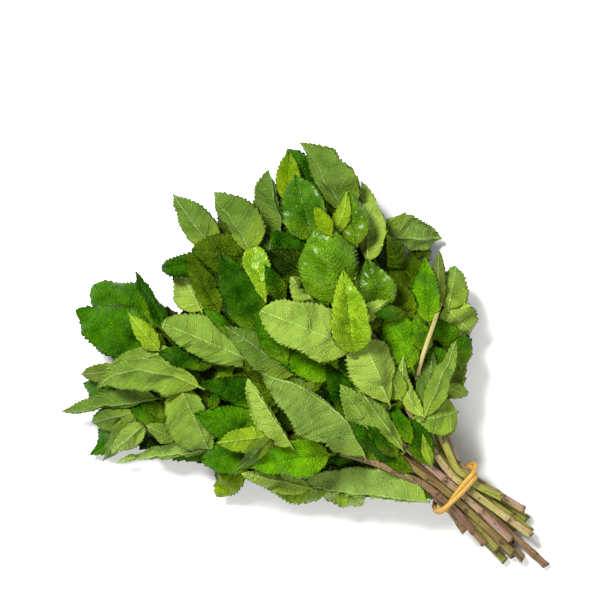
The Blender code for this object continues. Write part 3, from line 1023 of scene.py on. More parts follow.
@dataclass
class StemRod:
    """A mint stem with its grooved faces, swollen leaf joints and slanting cut end."""

    stem: Stem
    rng: np.random.Generator
    around: int = 20
    joint_pitch: float = 27.0
    joint_swell: float = 0.16

    def patch(self) -> Patch:
        """Builds the rod.

        Returns:
            The rod's shell with its two ends, paint 0 on the skin and 1 on the cut faces.
        """
        path = self.stem.path
        share = np.linspace(0.0, 1.0, len(path))
        length = float(np.linalg.norm(np.diff(path, axis=0), axis=1).sum())
        joint = (share * length + self.rng.uniform(0, self.joint_pitch)) % self.joint_pitch
        near = np.exp(-(((joint - self.joint_pitch / 2) / 1.6) ** 2))
        near = near + np.exp(-((share * length / 1.4) ** 2))
        size = STEM_SIDE / 2 * np.interp(share, (0.0, 0.35, 1.0), (CUT_SCALE, 1.0, TIP_SCALE))
        size = size * (1.0 + self.joint_swell * near + 0.03 * np.sin(share * length / 6.0))
        section = square_section(size, self.around)
        cut = float(self.rng.uniform(-0.45, 0.45))
        return tube_patch(*sweep(path, section, cut), near, self.rng.uniform(-3, 3))


def rod_grain(run: Array, around: int) -> Array:
    """What a rod's material reads at each point.

    Args:
        run: distance along the rod at each ring.
        around: points in each ring.

    Returns:
        Rows of distance, cosine and sine.
    """
    angle = round_angles(around)
    turn = np.stack([np.cos(angle), np.sin(angle)], axis=-1)
    return np.concatenate([np.repeat(run, around)[:, None], np.tile(turn, (len(run), 1))], axis=1)


def tube_patch(points: Array, run: Array, knot: Array, shade: float, skin: int = 0) -> Patch:
    """Closes a swept tube with a dished disc at each end; only the first end is a cut face.

    Args:
        points: rings of points.
        run: distance along the tube at each ring.
        knot: how near each ring is to a joint, from 0 to 1.
        shade: the number that sets this tube's pattern apart.
        skin: the paint of its side.

    Returns:
        The closed shell.
    """
    rings, around = points.shape[:2]
    grain = rod_grain(run, around)
    quads, paint = [ring_quads(rings, around)], [np.full((rings - 1) * around, skin)]
    shell, grains, knots = [points.reshape(-1, 3)], [grain], [np.repeat(knot, around)]
    count = rings * around
    for end, order in ((0, -1), (rings - 1, 1)):
        middle = points[end].mean(axis=0)
        outward = unit((points[end] - points[end - 1 if end else 1]).mean(axis=0))
        before = np.arange(around) + end * around
        for scale, sink, rim in ((0.82, -0.1, 0.7), (0.45, 0.12, 0.1), (0.12, 0.2, 0.0)):
            ring = middle + (points[end] - middle) * scale - outward * sink
            here = count + np.arange(around)
            after = np.roll(here, -1)
            quad = np.stack([before, np.roll(before, -1), after, here], axis=-1)
            quads.append(quad[:, ::order])
            paint.append(np.full(around, skin if end else 1))
            shell.append(ring)
            grains.append(grain[end * around : (end + 1) * around])
            knots.append(np.full(around, 0.0 if end else rim))
            count += around
            before = here
        half = around // 2
        caps = np.array([[k, (k + 1) % around, around - 2 - k, around - 1 - k] for k in range(half - 1)])
        caps = caps[[len(set(row)) == 4 for row in caps.tolist()]] + count - around
        quads.append(caps[:, ::order])
        paint.append(np.full(len(caps), skin if end else 1))
    points, quads, paint, grain, knot = map(np.concatenate, (shell, quads, paint, grains, knots))
    return Patch(points, quads, paint, grain, shade, knot)


def shoot_patch(start: Array, heading: Array, end: Array, arrival: Array, shade: float) -> Patch:
    """A thin side shoot that leaves a stem and carries a leaf.

    Args:
        start: where it leaves the stem.
        heading: unit direction of the stem there.
        end: the leaf's base.
        arrival: unit direction of the leaf's midrib there.
        shade: the number that sets its pattern apart.

    Returns:
        The closed shell.
    """
    reach = 0.35 * float(np.linalg.norm(end - start))
    arrival = unit(arrival * 0.6 + np.array(UP) * 0.8)
    t = np.linspace(0.0, 1.0, 18)[:, None]
    path = start * (1 - t) ** 3 + (start + heading * reach) * (3 * t * (1 - t) ** 2)
    path = path + (end - arrival * reach) * (3 * t**2 * (1 - t)) + end * t**3
    section = square_section(np.linspace(0.8, 0.5, len(path)), 8)
    return tube_patch(*sweep(path, section), np.zeros(len(path)), shade, 2)


# ---------------------------------------------------------------- the band


@dataclass
class RubberBand:
    """A rubber band wound twice round the stems, its strands crossing as they go."""

    radius: float = STRAND_RADIUS
    around: int = 14
    per_turn: int = 150

    def outline(self) -> list[tuple[float, float]]:
        """Corners of the stem bundle's section under the band.

        Returns:
            Places (y, z), in turn round it.
        """
        half = STEM_SIDE / 2
        wide = (ROW_SLOTS - 1) / 2 * STEM_PITCH + half
        narrow = wide - STEM_PITCH / 2
        top = STEM_PITCH + half
        quarter = [(wide, half), (narrow, top)]
        upper = quarter + [(-y, z) for y, z in reversed(quarter)]
        return upper + [(-y, -z) for y, z in upper]

    def belt(self, offset: float) -> Array:
        """Evenly spaced points of a taut loop round the outline.

        Args:
            offset: how far the loop stands off the outline.

        Returns:
            Rows of (y, z).
        """
        corners = self.outline()
        loop = []
        for index, (y, z) in enumerate(corners):
            before, after = corners[index - 1], corners[(index + 1) % len(corners)]
            first = math.atan2(z - before[1], y - before[0]) - math.pi / 2
            last = math.atan2(after[1] - z, after[0] - y) - math.pi / 2
            turn = (last - first) % math.tau
            for step in range(13):
                angle = first + turn * step / 12
                loop.append((y + offset * math.cos(angle), z + offset * math.sin(angle)))
        loop.append(loop[0])
        ring = np.array(loop)
        run = np.concatenate([[0.0], np.cumsum(np.hypot(*np.diff(ring, axis=0).T))])
        even = np.linspace(0.0, run[-1], self.per_turn, endpoint=False)
        return np.column_stack([np.interp(even, run, ring[:, axis]) for axis in range(2)])

    def patch(self) -> Patch:
        """Builds the wound loop.

        Returns:
            The closed ring, all in paint 0.
        """
        spread = self.radius + STRAND_GAP / 2
        belt = self.belt(spread + self.radius + STRAND_GAP)
        outward = np.roll(belt, -1, axis=0) - np.roll(belt, 1, axis=0)
        outward = unit(np.column_stack([outward[:, 1], -outward[:, 0]]))
        count = self.per_turn * STRAND_TURNS
        index = np.arange(count)
        phase = math.tau * STRAND_CROSSINGS * index / (2 * self.per_turn)
        spot = index % self.per_turn
        belt = belt[spot] + outward[spot] * (spread * np.sin(phase))[:, None]
        along = np.array((math.cos(STEM_SLOPE), 0.0, math.sin(STEM_SLOPE)))
        up = np.array((-math.sin(STEM_SLOPE), 0.0, math.cos(STEM_SLOPE)))
        path = np.array((0.0, 0.0, BAND_HEIGHT)) + np.outer(belt[:, 1], up)
        path = path + np.outer(belt[:, 0], (0, 1, 0)) + np.outer(spread * np.cos(phase), along)
        angle = round_angles(self.around)
        square = 1.0 / (np.abs(np.cos(angle)) ** 3 + np.abs(np.sin(angle)) ** 3) ** (1 / 3)
        ring = np.stack([np.cos(angle) * square, np.sin(angle) * square], axis=-1)
        swell = self.radius * (1.18 + 0.06 * np.sin(phase * 2 + 0.6) + 0.03 * np.sin(index / 3.7))
        points, run = sweep(path, ring * swell[:, None, None], closed=True)
        quads = ring_quads(count, self.around, closed=True)
        return Patch(points.reshape(-1, 3), quads, np.zeros(len(quads)), rod_grain(run, self.around))


# ---------------------------------------------------------------- the bunch's own tables

# Cut end, colouring and route into the head of the stems in each row, from the +Y side.
STEM_ROWS = {
    "top": (
        ((-30, 11.5), Skin.PURPLE, (
            (20, 10.5, 34), (50, 21, 40), (88, 42, 33), (122, 60, 24), (143, 73, 18))),
        ((-44, 5.5), Skin.BROWN, (
            (20, 5.5, 34), (42, 6.5, 40), (80, 14, 45), (120, 30, 40), (160, 46, 26))),
        ((-39, 1.2), Skin.PINK, ((18, 0, 33), (36, 0, 38.5), (80, -4, 45), (125, -8, 44), (160, -12, 33))),
        ((-45, -7), Skin.STRAW, (
            (20, -7, 34), (45, -15, 41), (80, -30, 45), (115, -44, 41), (140, -52, 32))),
        ((-21, -11.8), Skin.GREEN, (
            (20, -14, 34.2), (40, -23, 38.5), (53.5, -33, 38),
            (60, -43, 36), (63, -54, 32), (63, -66, 26))),
    ),
    "middle": (
        ((-18, 13), Skin.PURPLE, ((22, 15, 29), (55, 34, 27), (92, 56, 19), (125, 78, 12))),
        ((-37.5, 9.5), Skin.GREEN, ((22, 8.5, 30), (60, 22, 34), (110, 42, 27), (150, 60, 17))),
        ((-50, 4.5), Skin.PURPLE, ((22, 3, 30), (60, 8, 35), (115, 18, 32), (165, 30, 21))),
        ((-61.4, -0.5), Skin.PURPLE, ((22, -3, 30), (60, -9, 35), (115, -18, 33), (165, -24, 23))),
        ((-44, -8.5), Skin.GREEN, ((22, -9, 30), (60, -27, 34), (105, -46, 28), (150, -62, 18))),
        ((-34, -14.5), Skin.PINK, ((20, -17, 28.5), (42, -34, 28), (68, -55, 22), (90, -70, 14))),
    ),
    "bottom": (
        ((-44, 11.4), Skin.GREEN, ((22, 13, 23), (55, 30, 19), (100, 54, 12), (145, 76, 9))),
        ((-46, 6.5), Skin.BROWN, ((22, 6, 24), (60, 16, 23), (110, 32, 17), (158, 48, 11))),
        ((-41, 1.5), Skin.PURPLE, ((22, 0, 24.5), (60, 2, 25), (115, 6, 18), (172, 12, 12))),
        ((-38, -5), Skin.GREEN, ((22, -6, 24), (60, -18, 23), (110, -34, 17), (158, -48, 10))),
        ((-38.6, -12), Skin.GREEN, ((22, -13, 23), (52, -30, 19), (85, -50, 13), (120, -72, 9))),
    ),
}
STEMS = tuple(
    Stem(f"stem_{label}_{at + 1}", 2 - level, (len(stems) - 1) / 2 - at, *stem)
    for level, (label, stems) in enumerate(STEM_ROWS.items())
    for at, stem in enumerate(stems)
)

# The CAD's leaves, in the order in which they lie, and how the shown blades narrow. Those under
# the stems carry the head.
UNDER_LEAVES = (
    Leaf("leaf_under_1", (48, -4, 8), (98, -12, 1), 26, Tone.DARK, 172, 8, 1),
    Leaf("leaf_under_2", (52, 20, 8), (98, 40, 1), 26, Tone.MID, 186, 8, 1),
    Leaf("leaf_under_3", (52, -32, 7), (98, -62, 1), 26, Tone.DARK, 176, 8, 1),
    Leaf("leaf_under_4", (108, 2, 7), (160, 6, 1), 28, Tone.DARK, 4, 6, 1),
    Leaf("leaf_under_5", (112, 30, 6), (166, 52, 1), 26, Tone.MID, 182, 8, 1),
    Leaf("leaf_under_6", (108, -34, 6), (156, -58, 1), 26, Tone.MID, 178, 8, 1),
    Leaf("leaf_under_7", (102, 58, 3), (142, 88, 1), 24, Tone.MID, 2, 4, 0),
)

# Leaves over the lower stems but under the top row.
LOWER_LEAVES = (
    Leaf("leaf_front_pale", (22, 20, 32), (67, 53, 14), 24, Tone.SAGE, 160, 12, halves=(0.12, 1.05)),
    Leaf("leaf_front_point", (92, 60, 24), (86, 82, 6), 18, Tone.YOUNG, 8, 15),
    Leaf("leaf_front_long", (105, 65, 22), (137, 102, 4), 17, Tone.SAGE, 212, 30, halves=(0.3, 0.85)),
    Leaf("leaf_left_drooping", (147, 78, 15), (149, 107, 3), 18, Tone.MID, 20, 12),
    Leaf("leaf_right_back", (34, -30, 28), (50, -60, 12), 18, Tone.LIME, 12, 15),
    Leaf("leaf_right_edge", (113, -70, 22), (87, -91, 8), 25, Tone.SAGE, 212, 32, halves=(1.0, 0.7)),
    Leaf("leaf_crown_low", (155, 16, 26), (178, 7, 12), 20, Tone.LIME, 190, 12),
    Leaf("leaf_left_back", (166, 39, 26), (205, 42, 14), 27, Tone.MID, 8, 10, 4, tip_power=0.66),
)

# Leaves over all the stems: the outer ring, then the right, the lower left and the crown.
UPPER_LEAVES = (
    Leaf("leaf_front_dark", (88, 50, 34), (106, 73, 22), 20, Tone.MID, 0, 10),
    Leaf("leaf_right_drooping", (64, -66, 30), (45, -65, 14), 20, Tone.LIME, 184, 10, 4),
    Leaf("leaf_crown_dark", (158, -18, 36), (185, 14, 26), 17,
         Tone.DARK, -10, 14, halves=(0.7, 0.95), tip_power=0.55),
    Leaf("leaf_crown_wide", (108, -58, 38), (137, -86, 22), 23, Tone.LIME, 165, 20, halves=(0.4, 0.95)),
    Leaf("leaf_crown_tall", (131, -68, 32), (172, -81, 26), 34, Tone.GREY, 158, 20, 4, halves=(0.3, 1.0)),
    Leaf("leaf_crown_light", (149, -38, 36), (176, -60, 28), 28, Tone.GREY, 212, 32, halves=(1.0, 0.3)),
    Leaf("leaf_crown_far", (170, -11, 38), (205, -19, 26), 26,
         Tone.GREY, 174, 18, halves=(0.6, 0.85), tip_power=1.1),
    Leaf("leaf_crown_serrated", (155, -23, 42), (189, -33, 34), 30,
         Tone.GREY, 160, 22, halves=(0.4, 1.0), tip_power=0.9),
    Leaf("leaf_left_front", (157, 46, 36), (201, 57, 22), 28, Tone.MID, 0, 8, 4, tip_power=0.7),
    Leaf("leaf_left_long", (143, 64, 28), (175, 102, 10), 18, Tone.GREY, 148, 30, halves=(0.4, 0.9)),
    Leaf("leaf_left_broad", (141, 50, 42), (106, 66, 36), 32,
         Tone.PALE, 182, 5, 5, halves=(0.45, 0.95), base_power=0.6, tip_power=0.5),
    Leaf("leaf_left_arched", (131, 45, 50), (169, 80, 26), 25,
         Tone.PALE, 166, 18, 9, -9, halves=(1.0, 0.6)),
    Leaf("leaf_right_glossy", (65, -55, 42), (87, -77, 30), 20, Tone.BRIGHT, -6, 18, halves=(0.7, 0.8)),
    Leaf("leaf_right_round", (57, -32, 44), (85, -45, 42), 22, Tone.BRIGHT, 0, -12, 4, tip_power=0.62),
    Leaf("leaf_right_pale", (36, -18, 41), (48, -56, 33), 16, Tone.PALE, 168, 28, halves=(0.75, 0.8)),
    Leaf("leaf_front_glossy", (60, 28, 44), (87, 59, 34), 23, Tone.BRIGHT, -12, 16),
    Leaf("leaf_lower_bumpy", (91, 41, 44), (124, 57, 46), 23, Tone.MID, 6, 14),
    Leaf("leaf_far_pale", (102, 12, 50), (165, 33, 44), 30,
         Tone.PALE, 178, 12, 5, halves=(0.7, 1.0), base_power=0.9, tip_power=0.55),
    Leaf("leaf_centre_dark", (125, 4, 50), (166, -12, 46), 25, Tone.DARK, -6, 20),
    Leaf("leaf_crown_glossy", (136, -47, 48), (163, -66, 42), 25, Tone.DAMP, -8, 14),
    Leaf("leaf_centre_under", (84, -6, 50), (125, 5, 54), 24, Tone.BRIGHT, 4, 14),
    Leaf("leaf_centre_quilted", (108, -30, 54), (138, -57, 56), 31, Tone.WET, 0, 10, 4, tip_power=0.7),
    Leaf("leaf_lower_narrow", (77, 37, 50), (115, 26, 60), 20, Tone.LIME, 214, 34, halves=(1.0, 0.3)),
    Leaf("leaf_centre_narrow", (34, 2, 44), (76, -8, 54), 13, Tone.PALE, 184, 34, halves=(0.7, 0.9)),
    Leaf("leaf_lower_pale", (46, 17, 45), (111, 19, 68), 29,
         Tone.SAGE, 206, 26, 3, 4, halves=(1.6, 0.1), base_power=0.8, tip_power=0.8),
    Leaf("leaf_centre_pale", (86, -20, 60), (132, -4, 64), 27, Tone.LIME, 180, 8, 5, tip_power=0.62),
    Leaf("leaf_centre_fan", (54, -11, 50), (84, -26, 58), 27,
         Tone.LIME, 196, 16, 4, base_power=0.85, tip_power=0.42),
    Leaf("leaf_centre_wet", (84, -19, 64), (115, -46, 70), 23, Tone.DEWY, 0, 22),
)

# How the shown blades turn, fold and reach otherwise than the CAD's plain sheets.
REDRAWN: dict[str, dict[str, object]] = {
    "leaf_crown_far": {"fold": 26},
    "leaf_centre_quilted": {"fold": -8},
    "leaf_left_front": {"fold": 14},
    "leaf_right_edge": {"fold": 22, "roll": 196},
    "leaf_right_back": {"roll": 190},
    "leaf_front_long": {"roll": 148},
    "leaf_far_pale": {"fold": 30},
    "leaf_lower_pale": {"sway": -8},
    "leaf_front_pale": {"base": (7, 14, 27), "tip": (66, 54, 16), "width": 29, "roll": 166},
    "leaf_centre_dark": {"fold": 34},
    "leaf_crown_glossy": {"fold": 24},
    "leaf_lower_bumpy": {"fold": 24},
    "leaf_front_glossy": {"fold": 28},
    "leaf_centre_wet": {"fold": 30},
}

# Loose leaves that have no CAD solid, by the sprig that they grow on and the CAD leaf that they are
# tucked under: base, tip, width, tone, roll, fold, and where needed arch, sway, halves and powers.
LOOSE_LEAVES = {
    ("sprig_left", "leaf_left_front"): (
        ((154, 38, 28), (193, 24, 22), 11, Tone.DARK, 48, 12),
    ),
    ("sprig_left", "leaf_left_long"): (
        ((148, 70, 26), (178, 84, 8), 22, Tone.MID, 0, 10),
        ((147, 77, 20), (160, 96, 8), 14, Tone.GREY, 170, 12),
        ((146, 78, 22), (143, 107, 5), 11, Tone.GREY, 190, 20),
        ((139, 78, 22), (142, 101, 7), 12, Tone.SAGE, 170, 16),
        ((133, 71, 28), (154, 74, 24), 14, Tone.DARK, 8, 14),
    ),
    ("sprig_left", "leaf_front_long"): (
        ((112, 69, 24), (137, 88, 12), 14, Tone.INNER, 0, 12),
    ),
    ("sprig_left", "leaf_left_broad"): (
        ((123, 43, 36), (138, 35, 36), 10, Tone.INNER, 20, 16),
        ((120, 51, 36), (133, 45, 38), 9, Tone.INNER, -20, 18),
        ((122, 73, 24), (138, 78, 18), 10, Tone.BRIGHT, 176, 14),
    ),
    ("sprig_left", "leaf_far_pale"): (
        ((133, 31, 38), (158, 46, 32), 13, Tone.DARK, 0, 14),
        ((119, 49, 40), (123, 40, 44), 7, Tone.DARK, 10, 16),
    ),
    ("sprig_left", "leaf_left_arched"): (
        ((166, 66, 26), (180, 81, 14), 10, Tone.OLIVE, 176, 10),
        ((153, 41, 44), (172, 70, 33), 15, Tone.PALE, 196, 16),
        ((158, 45, 44), (181, 41, 42), 10, Tone.YOUNG, 186, 12),
    ),
    ("sprig_crown", "leaf_crown_tall"): (
        ((150, -66, 34), (176, -74, 27), 18, Tone.MID, 6, 14),
        ((136, -64, 36), (165, -78, 30), 18, Tone.DARK, 0, 14),
    ),
    ("sprig_crown", "leaf_crown_serrated"): (
        ((150, -22, 38), (179, -3, 32), 24, Tone.OLIVE, -20, 12),
        ((148, 11, 34), (179, -1, 30), 13, Tone.OLIVE, 8, 10),
    ),
    ("sprig_crown", "leaf_crown_glossy"): (
        ((157, -53, 40), (174, -73, 34), 13, Tone.YOUNG, 2, 14),
        ((124, -38, 44), (155, -36, 42), 17, Tone.DARK, 10, 14),
    ),
    ("sprig_crown", "leaf_centre_quilted"): (
        ((124, -34, 46), (151, -25, 44), 18, Tone.INNER, -8, 14),
        ((134, -9, 52), (156, -25, 52), 13, Tone.DEWY, 0, 10, 3, 0, (1, 1), 0.8, 0.4),
        ((118, -60, 46), (138, -77, 38), 17, Tone.WET, 0, 14),
        ((130, -55, 47), (139, -76, 40), 10, Tone.YOUNG, 186, 20, 3, -2),
    ),
    ("sprig_crown", ""): (
        ((131, -55, 52), (146, -60, 54), 9, Tone.YOUNG, 4, 16),
    ),
    ("sprig_far", "leaf_centre_dark"): (
        ((121, 8, 46), (148, 1, 44), 11, Tone.INNER, 0, 14),
        ((132, 14, 50), (156, 14, 50), 7, Tone.MID, 10, 10),
    ),
    ("sprig_far", "leaf_crown_glossy"): (
        ((99, 9, 54), (141, 14, 52), 19, Tone.GREY, 188, 14),
    ),
    ("sprig_far", "leaf_centre_quilted"): (
        ((127, -15, 50), (145, -22, 50), 10, Tone.DARK, 0, 14),
        ((106, 7, 54), (134, -1, 54), 13, Tone.MID, 0, 14),
        ((116, -24, 56), (132, -26, 58), 14, Tone.LIME, 184, 14),
    ),
    ("sprig_right", "leaf_right_glossy"): (
        ((76, -61, 28), (108, -73, 20), 19, Tone.OLIVE, 0, 12),
        ((44, -54, 28), (66, -57, 30), 13, Tone.MID, 0, 12),
        ((62, -66, 34), (73, -85, 22), 17, Tone.PALE, 180, 14),
        ((66, -62, 36), (84, -84, 26), 9, Tone.OLIVE, 184, 18),
    ),
    ("sprig_right", "leaf_right_round"): (
        ((73, -49, 38), (95, -59, 36), 14, Tone.OLIVE, 0, 14),
    ),
    ("sprig_right", "leaf_right_pale"): (
        ((44, -42, 32), (58, -45, 36), 13, Tone.MID, 0, 12),
        ((57, -43, 38), (72, -52, 40), 11, Tone.BRIGHT, 0, 12),
        ((33, -16, 32), (54, -28, 36), 12, Tone.INNER, 0, 12),
        ((25, -29, 35), (39, -10, 42), 20, Tone.BRIGHT, 180, 4, 5),
        ((36, -16, 40), (54, -45, 37), 14, Tone.GREY, 184, 24),
        ((39, -48, 24), (48, -62, 18), 11, Tone.MID, 0, 12),
        ((37, -36, 26), (26, -39, 22), 9, Tone.LIME, 184, 12),
    ),
    ("sprig_right", "leaf_centre_fan"): (
        ((37, -17, 42), (64, -33, 47), 9, Tone.LIME, 184, 20, 4, 4),
    ),
    ("sprig_right", "leaf_centre_wet"): (
        ((86, -44, 48), (109, -57, 52), 19, Tone.WET, 4, 14),
        ((93, -31, 58), (88, -49, 54), 10, Tone.LIME, 180, 14),
        ((78, -49, 48), (89, -39, 50), 8, Tone.MID, 0, 14),
    ),
    ("sprig_centre", "leaf_front_pale"): (
        ((35, 19, 30), (71, 41, 26), 17, Tone.MID, 0, 14),
    ),
    ("sprig_centre", "leaf_lower_narrow"): (
        ((99, 26, 42), (131, 43, 40), 15, Tone.DARK, 0, 12),
        ((89, 42, 48), (106, 61, 44), 13, Tone.YOUNG, 184, 14),
        ((87, 40, 44), (89, 65, 34), 9, Tone.DARK, 190, 22),
    ),
    ("sprig_centre", "leaf_centre_narrow"): (
        ((60, 7, 44), (90, -5, 46), 15, Tone.DARK, 0, 14),
        ((46, 7, 46), (79, -2, 50), 18, Tone.PALE, 180, 12),
        ((40, 14, 38), (66, 10, 40), 11, Tone.MID, 24, 18),
        ((23, 8, 33), (52, 11, 36), 10, Tone.DARK, 0, 20),
        ((34, 6, 38), (54, 5, 40), 10, Tone.DARK, 0, 20),
        ((19, -1, 36), (42, -12, 42), 14, Tone.DARK, 0, 20),
        ((17, -1, 38), (31, -10, 42), 6, Tone.YOUNG, 190, 16),
        ((33, -3, 38), (54, -12, 44), 9, Tone.MID, 0, 14),
    ),
    ("sprig_centre", "leaf_centre_fan"): (
        ((51, -16, 46), (69, -25, 48), 13, Tone.MID, 184, 14),
    ),
    ("sprig_front", "leaf_front_pale"): (
        ((56, 38, 16), (28, 37, 8), 20, Tone.DEWY, 0, 10),
        ((50, 40, 16), (70, 62, 8), 19, Tone.DEWY, 0, 10),
        ((7, 12, 26), (27, 17, 30), 9, Tone.MID, 0, 12),
    ),
    ("sprig_front", "leaf_front_glossy"): (
        ((56, 48, 28), (86, 64, 20), 13, Tone.LIME, 172, 12),
    ),
}


@dataclass(frozen=True)
class Twig:
    """A bare side shoot that shows between leaves; heights are over what it lies on."""

    name: str
    below: str
    radius: float
    route: tuple[Point, ...]


TWIGS = (
    Twig("twig_right", "leaf_right_pale", 1.1, (
        (50, -27, -7), (55, -36, -1), (60, -48, 0), (64, -58, -1), (67, -65, -5))),
    Twig("twig_centre", "leaf_centre_fan", 1.2, ((74, -26, -7), (80, -30, 0), (86, -32, 1), (93, -35, -4))),
)

# Sets of inner leaves: the first thing that lies over them, the row of stems that they grow from,
# whether they are steep and light ones, and how much of each must be hidden.
INNER_LAYERS = (
    ("stem_middle_1", 0, False, 0.0),
    ("leaf_front_pale", 1, False, 0.0),
    ("leaf_front_dark", 2, True, 0.75),
    ("leaf_right_glossy", 1, True, 0.9),
    ("leaf_centre_dark", 2, True, 0.9),
)


# ---------------------------------------------------------------- inner leaves


@dataclass
class InnerLeaves:
    """Leaf pairs along the stems inside the head, which fill it between the larger leaves; most are
    near-black, painted shade for its deep gaps.
    """

    rng: np.random.Generator
    allowed: Array
    first: float = 44.0
    pitch: float = 13.0
    tries: int = 8
    turns: tuple[float, float] = (12, 75)
    lengths: tuple[float, float] = (20, 36)
    steepest_dip: float = -28
    widths: tuple[float, float] = (0.48, 0.62)
    rolls: tuple[float, float] = (-22, 22)
    lowest_tip: float = 1.5

    def candidates(self, stem: Stem, high: bool, shown: Array, hidden: Array, share: float) -> list[Leaf]:
        """Leaf pairs that grow from a stem's joints, kept where the head covers them.

        Args:
            stem: the stem.
            high: True for a lighter set, of the upper stems.
            shown: cells where a leaf already laid is seen from above, and must stay so.
            hidden: cells under something that is laid later.
            share: how much of a leaf must be hidden so.

        Returns:
            The leaves.
        """
        rng, path = self.rng, stem.path
        heading = unit(np.gradient(path, axis=0))
        run = run_along(path)
        reached = float(np.interp(self.first, path[:, 0], run))
        found = []
        for joint in np.arange(reached + rng.uniform(0, 6), run[-1] + 2, self.pitch):
            index = min(int(np.searchsorted(run, joint)), len(path) - 1)
            for side in (-1, 1):
                for _ in range(self.tries):
                    leaf = self.grow(path[index], heading[index], side, high)
                    if self.inside(leaf, shown, hidden, share):
                        found.append(leaf)
                        break
        return found

    def grow(self, joint: Array, heading: Array, side: int, high: bool) -> Leaf:
        """Draws a leaf that grows from a joint.

        Args:
            joint: the joint's place on the stem.
            heading: the stem's direction there.
            side: 1 for the stem's left side and -1 for its right.
            high: True for a steeper and lighter set, of the upper stems.

        Returns:
            The leaf.
        """
        rng = self.rng
        turn = side * math.radians(rng.uniform(*self.turns))
        length = rng.uniform(*self.lengths)
        dip = math.radians(rng.uniform(self.steepest_dip, 16 if high else 4))
        x, y, _ = unit(heading * (1, 1, 0))
        across, along = math.sin(turn), math.cos(turn)
        way = np.array((x * along - y * across, x * across + y * along, 0.0))
        base = joint + way * 1.2
        tip = base + (way * math.cos(dip) + np.array((0, 0, math.sin(dip)))) * length
        tip[2] = max(tip[2], self.lowest_tip)
        roll = rng.uniform(*self.rolls) + (180 if rng.random() < 0.3 else 0)
        # Most take the near-black tone that is painted shade for the gaps; the rest are dark green.
        tone = Tone.INNER if rng.random() < (0.7 if high else 0.9) else Tone.DARK
        width = length * rng.uniform(*self.widths)
        fold, arch = rng.uniform(6, 20), rng.uniform(1, 4)
        return Leaf("inner", tuple(base), tuple(tip), width, tone, roll, fold, arch)

    def inside(self, leaf: Leaf, shown: Array, hidden: Array, share: float) -> bool:
        """Checks a leaf against the head.

        Args:
            leaf: the leaf.
            shown: cells that it may hardly touch.
            hidden: cells that hide it.
            share: how much of it must be hidden.

        Returns:
            True if it lies within the head, hides no shown leaf and is hidden enough itself.
        """
        along, across = np.meshgrid(np.linspace(0.0, 1.0, 13), np.linspace(-1.0, 1.0, 7), indexing="ij")
        half = outline_width(along) * leaf.width / 2
        cells = Heap.cells(leaf.surface(along, across, half, np.zeros(along.shape)))
        clear = bool(self.allowed[cells].all()) and float(shown[cells].mean()) < 0.05
        return clear and float(hidden[cells].mean()) >= share


def head_mask(covered: Array, reach: int) -> Array:
    """Cells inside the head: those covered, with gaps of up to twice the reach filled.

    Args:
        covered: True where a leaf or stem covers a cell.
        reach: how many cells the outline grows before it shrinks back.

    Returns:
        The filled mask.
    """
    for grow in (True, False):
        for step in range(reach):
            shifts = [(1, 0), (-1, 0), (0, 1), (0, -1)]
            if step % 2:
                shifts += [(1, 1), (1, -1), (-1, 1), (-1, -1)]
            for moved in [np.roll(covered, shift, axis=(0, 1)) for shift in shifts]:
                covered = covered | moved if grow else covered & moved
    return covered


# ---------------------------------------------------------------- the bunch


